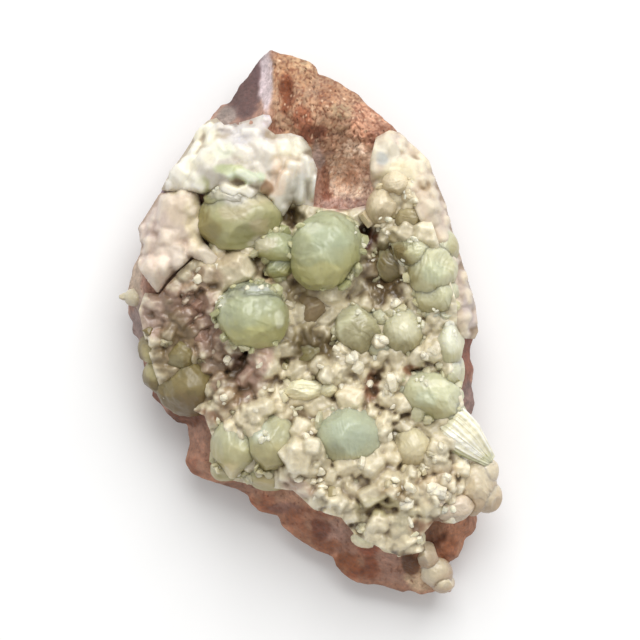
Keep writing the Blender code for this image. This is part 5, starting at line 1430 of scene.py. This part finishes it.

# %% [markdown]
# Loose crystals finish the hollow. Some stand on the mounds, some grow at the foot of each ball and break up
# its outline, and some are white specks on the balls' crests, which stand in for their glints as painted
# highlights.

# %% Single crystals
# Groups of white crystals, partly small crystals of their own and partly painted highlights where the balls
# glint.
# x and y of a group's middle, its half width and half length, and the number of crystals
GLINT_GROUPS = [
    (-8.4, 5.9, 2.4, 0.4, 3), (-14.9, 3.2, 0.4, 1.4, 3), (8.3, 15.0, 0.7, 1.0, 4),
    (9.2, 11.0, 0.5, 2.4, 4), (-8.8, -15.0, 0.8, 0.5, 2), (-7.6, -18.9, 1.2, 1.2, 4),
    (7.0, -14.2, 1.6, 0.6, 6), (23.4, -1.6, 0.9, 1.9, 10), (20.8, 2.4, 0.7, 0.5, 2),
    (17.8, 13.6, 2.0, 0.6, 4), (15.6, 10.6, 0.5, 1.6, 3), (20.0, -9.6, 2.4, 0.5, 4),
    (14.8, 1.8, 1.0, 0.6, 3), (18.6, 0.4, 0.5, 1.4, 3), (15.8, 21.4, 0.6, 0.6, 2),
    (20.8, 23.2, 0.5, 0.5, 2), (9.2, 1.8, 1.6, 0.5, 3), (-13.0, 22.0, 3.0, 0.8, 8),
    (23.3, -31.4, 0.9, 0.3, 3), (5.0, -24.4, 2.2, 0.4, 4), (1.0, -17.0, 0.6, 1.4, 4),
    (12.3, -3.3, 1.0, 0.9, 6), (11.8, -6.0, 0.8, 0.6, 4), (12.6, 17.4, 0.8, 0.5, 2),
]
MOUND_CREAM = (230, 221, 196)
GLINT_CREAM = (226, 222, 198)
RIM_CREAM = (216, 208, 180)


def single_crystals(plan, z, half, lean, tint, seed):
    """Sizes, turns and shades drawn at random round the given mean half length and tint. The tint is one
    colour, or one for each crystal."""
    draw = np.random.default_rng(seed)
    count = len(plan)
    long = half * np.exp(draw.normal(0, 0.3, count))
    thick, wide = draw.uniform(0.35, 0.75, count), draw.uniform(0.6, 1, count)
    sizes = long[:, None] * np.column_stack([thick, wide, np.ones(count)])
    matrices = turns(draw, count, lean)
    tints = np.asarray(tint) * draw.uniform(0.94, 1.04, (count, 1))
    return crystals(np.column_stack([plan, z]), sizes, matrices, tints)


def rim_crystals(entry, top, low, draw, seed):
    """Crystals round a lobe's outline in plan, between its middle height and its shoulder."""
    x, y, z, half_x, half_y, half_z, turn, _, _ = entry
    count = int(2.2 * (half_x + half_y))
    around = draw.uniform(0, 2 * math.pi, count)
    angle = math.radians(turn)
    wide = half_x * draw.uniform(0.84, 1.0, count) * np.cos(around)
    long = half_y * draw.uniform(0.84, 1.0, count) * np.sin(around)
    spots = np.column_stack([x + wide * math.cos(angle) - long * math.sin(angle),
                             y + wide * math.sin(angle) + long * math.cos(angle)])
    height = np.maximum(hollow_top(*spots.T), z + half_z * draw.uniform(-0.1, 0.4, count))
    keep = inside(*spots.T, HOLLOW_OUTLINE) > 0.3
    tint = mixed(mixed(low, top, 0.5), RIM_CREAM, draw.uniform(0.0, 0.7, count))
    return single_crystals(spots[keep], height[keep], 0.8, 1.2, tint[keep], seed)


spots = on_mounds(3, draw)
spots = spots[lobe_height(*spots.T) < hollow_top(*spots.T) + 1.0]
z = hollow_top(*spots.T) + draw.uniform(0.6, 1.9, len(spots))
sets = [single_crystals(spots, z, 0.85, 1.0, MOUND_CREAM, 41)]
for i, (x, y, wide, long, count) in enumerate(GLINT_GROUPS):
    spots = np.array((x, y)) + draw.uniform(-1, 1, (count, 2)) * (wide, long)
    z = np.maximum(lobe_height(*spots.T), hollow_top(*spots.T)) - 0.3
    sets.append(single_crystals(spots, z, 0.5, 1.2, GLINT_CREAM, 50 + i))
for number, ((top, low), _, lobes) in enumerate(LOBES.values()):
    for i, entry in enumerate(lobes):
        if min(entry[3:5]) >= 2.2:
            sets.append(rim_crystals(entry, top, low, draw, lobe_seed(number, i)))
skins, tints = zip(*sets)
print("groups of loose crystals:", len(sets))
piece("loose_crystals", joined(skins), np.concatenate(tints), CREAM, "cream_crystals", smooth=False)

# %% [markdown]
# ## Fan of blades
# At the right edge a sheaf of white blades spreads from one root. It is one skin of rings along an arched
# line. Noise that depends only on the direction round the line makes ridges that run its whole length, and
# each ridge ends a little sooner or later than the next, so the tip is ragged.

# %% Fan
# Four places along the middle line, and the half width and half thickness there
FAN_LINE = np.array([(20.4, -15.2, 15.2), (23.6, -17.2, 17.4), (26.8, -19.8, 16.8), (30.6, -23.4, 14.2)])
FAN_WIDE = (3.4, 3.9, 3.3, 1.9)
FAN_THICK = (1.6, 2.2, 2.0, 1.0)
FAN_AROUND = 300
FAN_RINGS = 70


def fan():
    """Rings across the line: ovals of the tables' half width and half thickness, rounded off at both ends,
    times one less ridges. The ridges are two layers of noise on the direction, folded so that their
    creases are sharp. Returns the skin, the fold, and on which side of the line each point lies."""
    share = (np.arange(FAN_RINGS) + 0.5) / FAN_RINGS
    turn = np.arange(FAN_AROUND) / FAN_AROUND * 2 * math.pi
    direction = on_plan(np.cos(turn), np.sin(turn))
    fold = np.abs(waves(direction, 0.22, 61)) + 0.5 * np.abs(waves(direction, 0.09, 62))
    reach = 1 + 0.10 * waves(direction, 0.12, 63)
    along = FAN_LINE[-1] - FAN_LINE[0]
    side = np.cross((0, 0, 1), along)
    side = side / np.linalg.norm(side)
    up = np.cross(along, side) / np.linalg.norm(along)
    t = share[:, None] * reach
    knots = np.arange(4) / 3
    line = np.stack([np.interp(t, knots, FAN_LINE[:, k]) for k in range(3)], -1)
    ends = np.sin(math.pi * np.clip(share, 0.02, 0.98))[:, None]
    swell = 1 - 0.16 * fold
    wide = np.interp(t, knots, FAN_WIDE) * np.sqrt(ends ** 0.5) * np.cos(turn) * swell
    thick = np.interp(t, knots, FAN_THICK) * ends ** 0.4 * np.sin(turn) * swell
    points = line + wide[..., None] * side + thick[..., None] * up
    points = points + (0.3 * rough(points.reshape(-1, 3), 1.4, 3, 64)).reshape(FAN_RINGS, FAN_AROUND, 1) * up
    skin = closed_rings(FAN_LINE[0], points, FAN_LINE[-1] + 0.02 * along)
    fold = np.concatenate([[0.5], np.tile(fold, FAN_RINGS), [0.5]])
    return skin, fold, np.concatenate([[0], np.tile(np.cos(turn), FAN_RINGS), [0]])


WHITE = (250, 247, 232)
WHITE_GROOVE_SHADE = (222, 216, 186)
FAN_GREEN = (178, 178, 122)
FAN_ZONES = [(30.0, -23.2, 1.6, 1.2, (214, 212, 172), 0.8), (22.0, -16.2, 2.0, 2.0, (214, 210, 176), 0.7)]
skin, fold, side = fan()
# The grooves between the ridges take a darker colour, as painted shade.
tint = mixed(WHITE, WHITE_GROOVE_SHADE, smooth_step(fold, 0.25, 0.9))
tint = painted(skin[0], mixed(tint, FAN_GREEN, 0.8 * smooth_step(-side, 0.6, 1.0)), FAN_ZONES)
piece("fan_of_blades", skin, tint, BLADES, "white_blades", "blade_fan")

# %% [markdown]
# ## Studio
# The specimen lies on a plain pale table. One broad soft light stands beyond the top of the picture, as a
# window would, and the surroundings fill the shadows. The camera looks straight down.

# %% Table and light
TABLE_HALF = 1.5
TABLE_DROP = 0.0001
TABLE_SHADES = ((0.86, 0.86, 0.855, 1), (0.89, 0.89, 0.885, 1))
WINDOW_PLACE = (0.15, 0.7, 0.85)
WINDOW_WIDTH = 0.9
WINDOW_WATTS = 12.0
SURROUNDINGS = 0.62


def table():
    """A flat sheet just below the rock, in metres."""
    mesh = bpy.data.meshes.new("table")
    far = TABLE_HALF
    mesh.from_pydata([(-far, -far, 0), (far, -far, 0), (far, far, 0), (-far, far, 0)], [], [(0, 1, 2, 3)])
    obj = bpy.data.objects.new("table", mesh)
    obj.location = (0, 0, -TABLE_DROP)
    bpy.context.scene.collection.objects.link(obj)
    material = bpy.data.materials.new("pale_table")
    material.use_nodes = True
    tree = material.node_tree
    shader = tree.nodes["Principled BSDF"]
    place = tree.nodes.new("ShaderNodeTexCoord").outputs["Object"]
    shade = noise_node(tree, place, 60.0, 4.0)
    mix = tree.nodes.new("ShaderNodeMix")
    mix.data_type = "RGBA"
    mix.inputs["A"].default_value, mix.inputs["B"].default_value = TABLE_SHADES
    tree.links.new(shade, mix.inputs["Factor"])
    tree.links.new(mix.outputs["Result"], shader.inputs["Base Color"])
    shader.inputs["Roughness"].default_value = 0.8
    obj.data.materials.append(material)
    return obj


def soft_light(name, place, target, width, power):
    """An area light at the place, which looks at the target."""
    light = bpy.data.lights.new(name, "AREA")
    light.size = width
    light.energy = power
    obj = bpy.data.objects.new(name, light)
    obj.location = place
    obj.rotation_euler = (Vector(target) - Vector(place)).to_track_quat("-Z", "Y").to_euler()
    bpy.context.scene.collection.objects.link(obj)
    return obj


table()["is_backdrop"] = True
soft_light("window", WINDOW_PLACE, (0, 0, 0.01), WINDOW_WIDTH, WINDOW_WATTS)
world = bpy.data.worlds.new("surroundings")
world.use_nodes = True
background = world.node_tree.nodes["Background"]
background.inputs["Color"].default_value = (1, 1, 1, 1)
background.inputs["Strength"].default_value = SURROUNDINGS
bpy.context.scene.world = world
bpy.context.scene.view_settings.view_transform = "Standard"
print("light:", WINDOW_WATTS, "W, as wide as", WINDOW_WIDTH, "m")

# %% [markdown]
# The lens is long and the camera far away, so the picture has next to no perspective. A camera without a
# turn looks down.

# %% Camera
lens = bpy.data.cameras.new("camera")
lens.lens = 200
lens.sensor_width = 36
camera = bpy.data.objects.new("camera", lens)
camera.location = (0.00183, 0.00042, 0.6126)
bpy.context.scene.collection.objects.link(camera)
bpy.context.scene.camera = camera
print("camera:", [round(c, 4) for c in camera.location])

# %% Sizes, and the end
low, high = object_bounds()
print("form:", [[round(c / MM, 1) for c in corner] for corner in (low, high)])
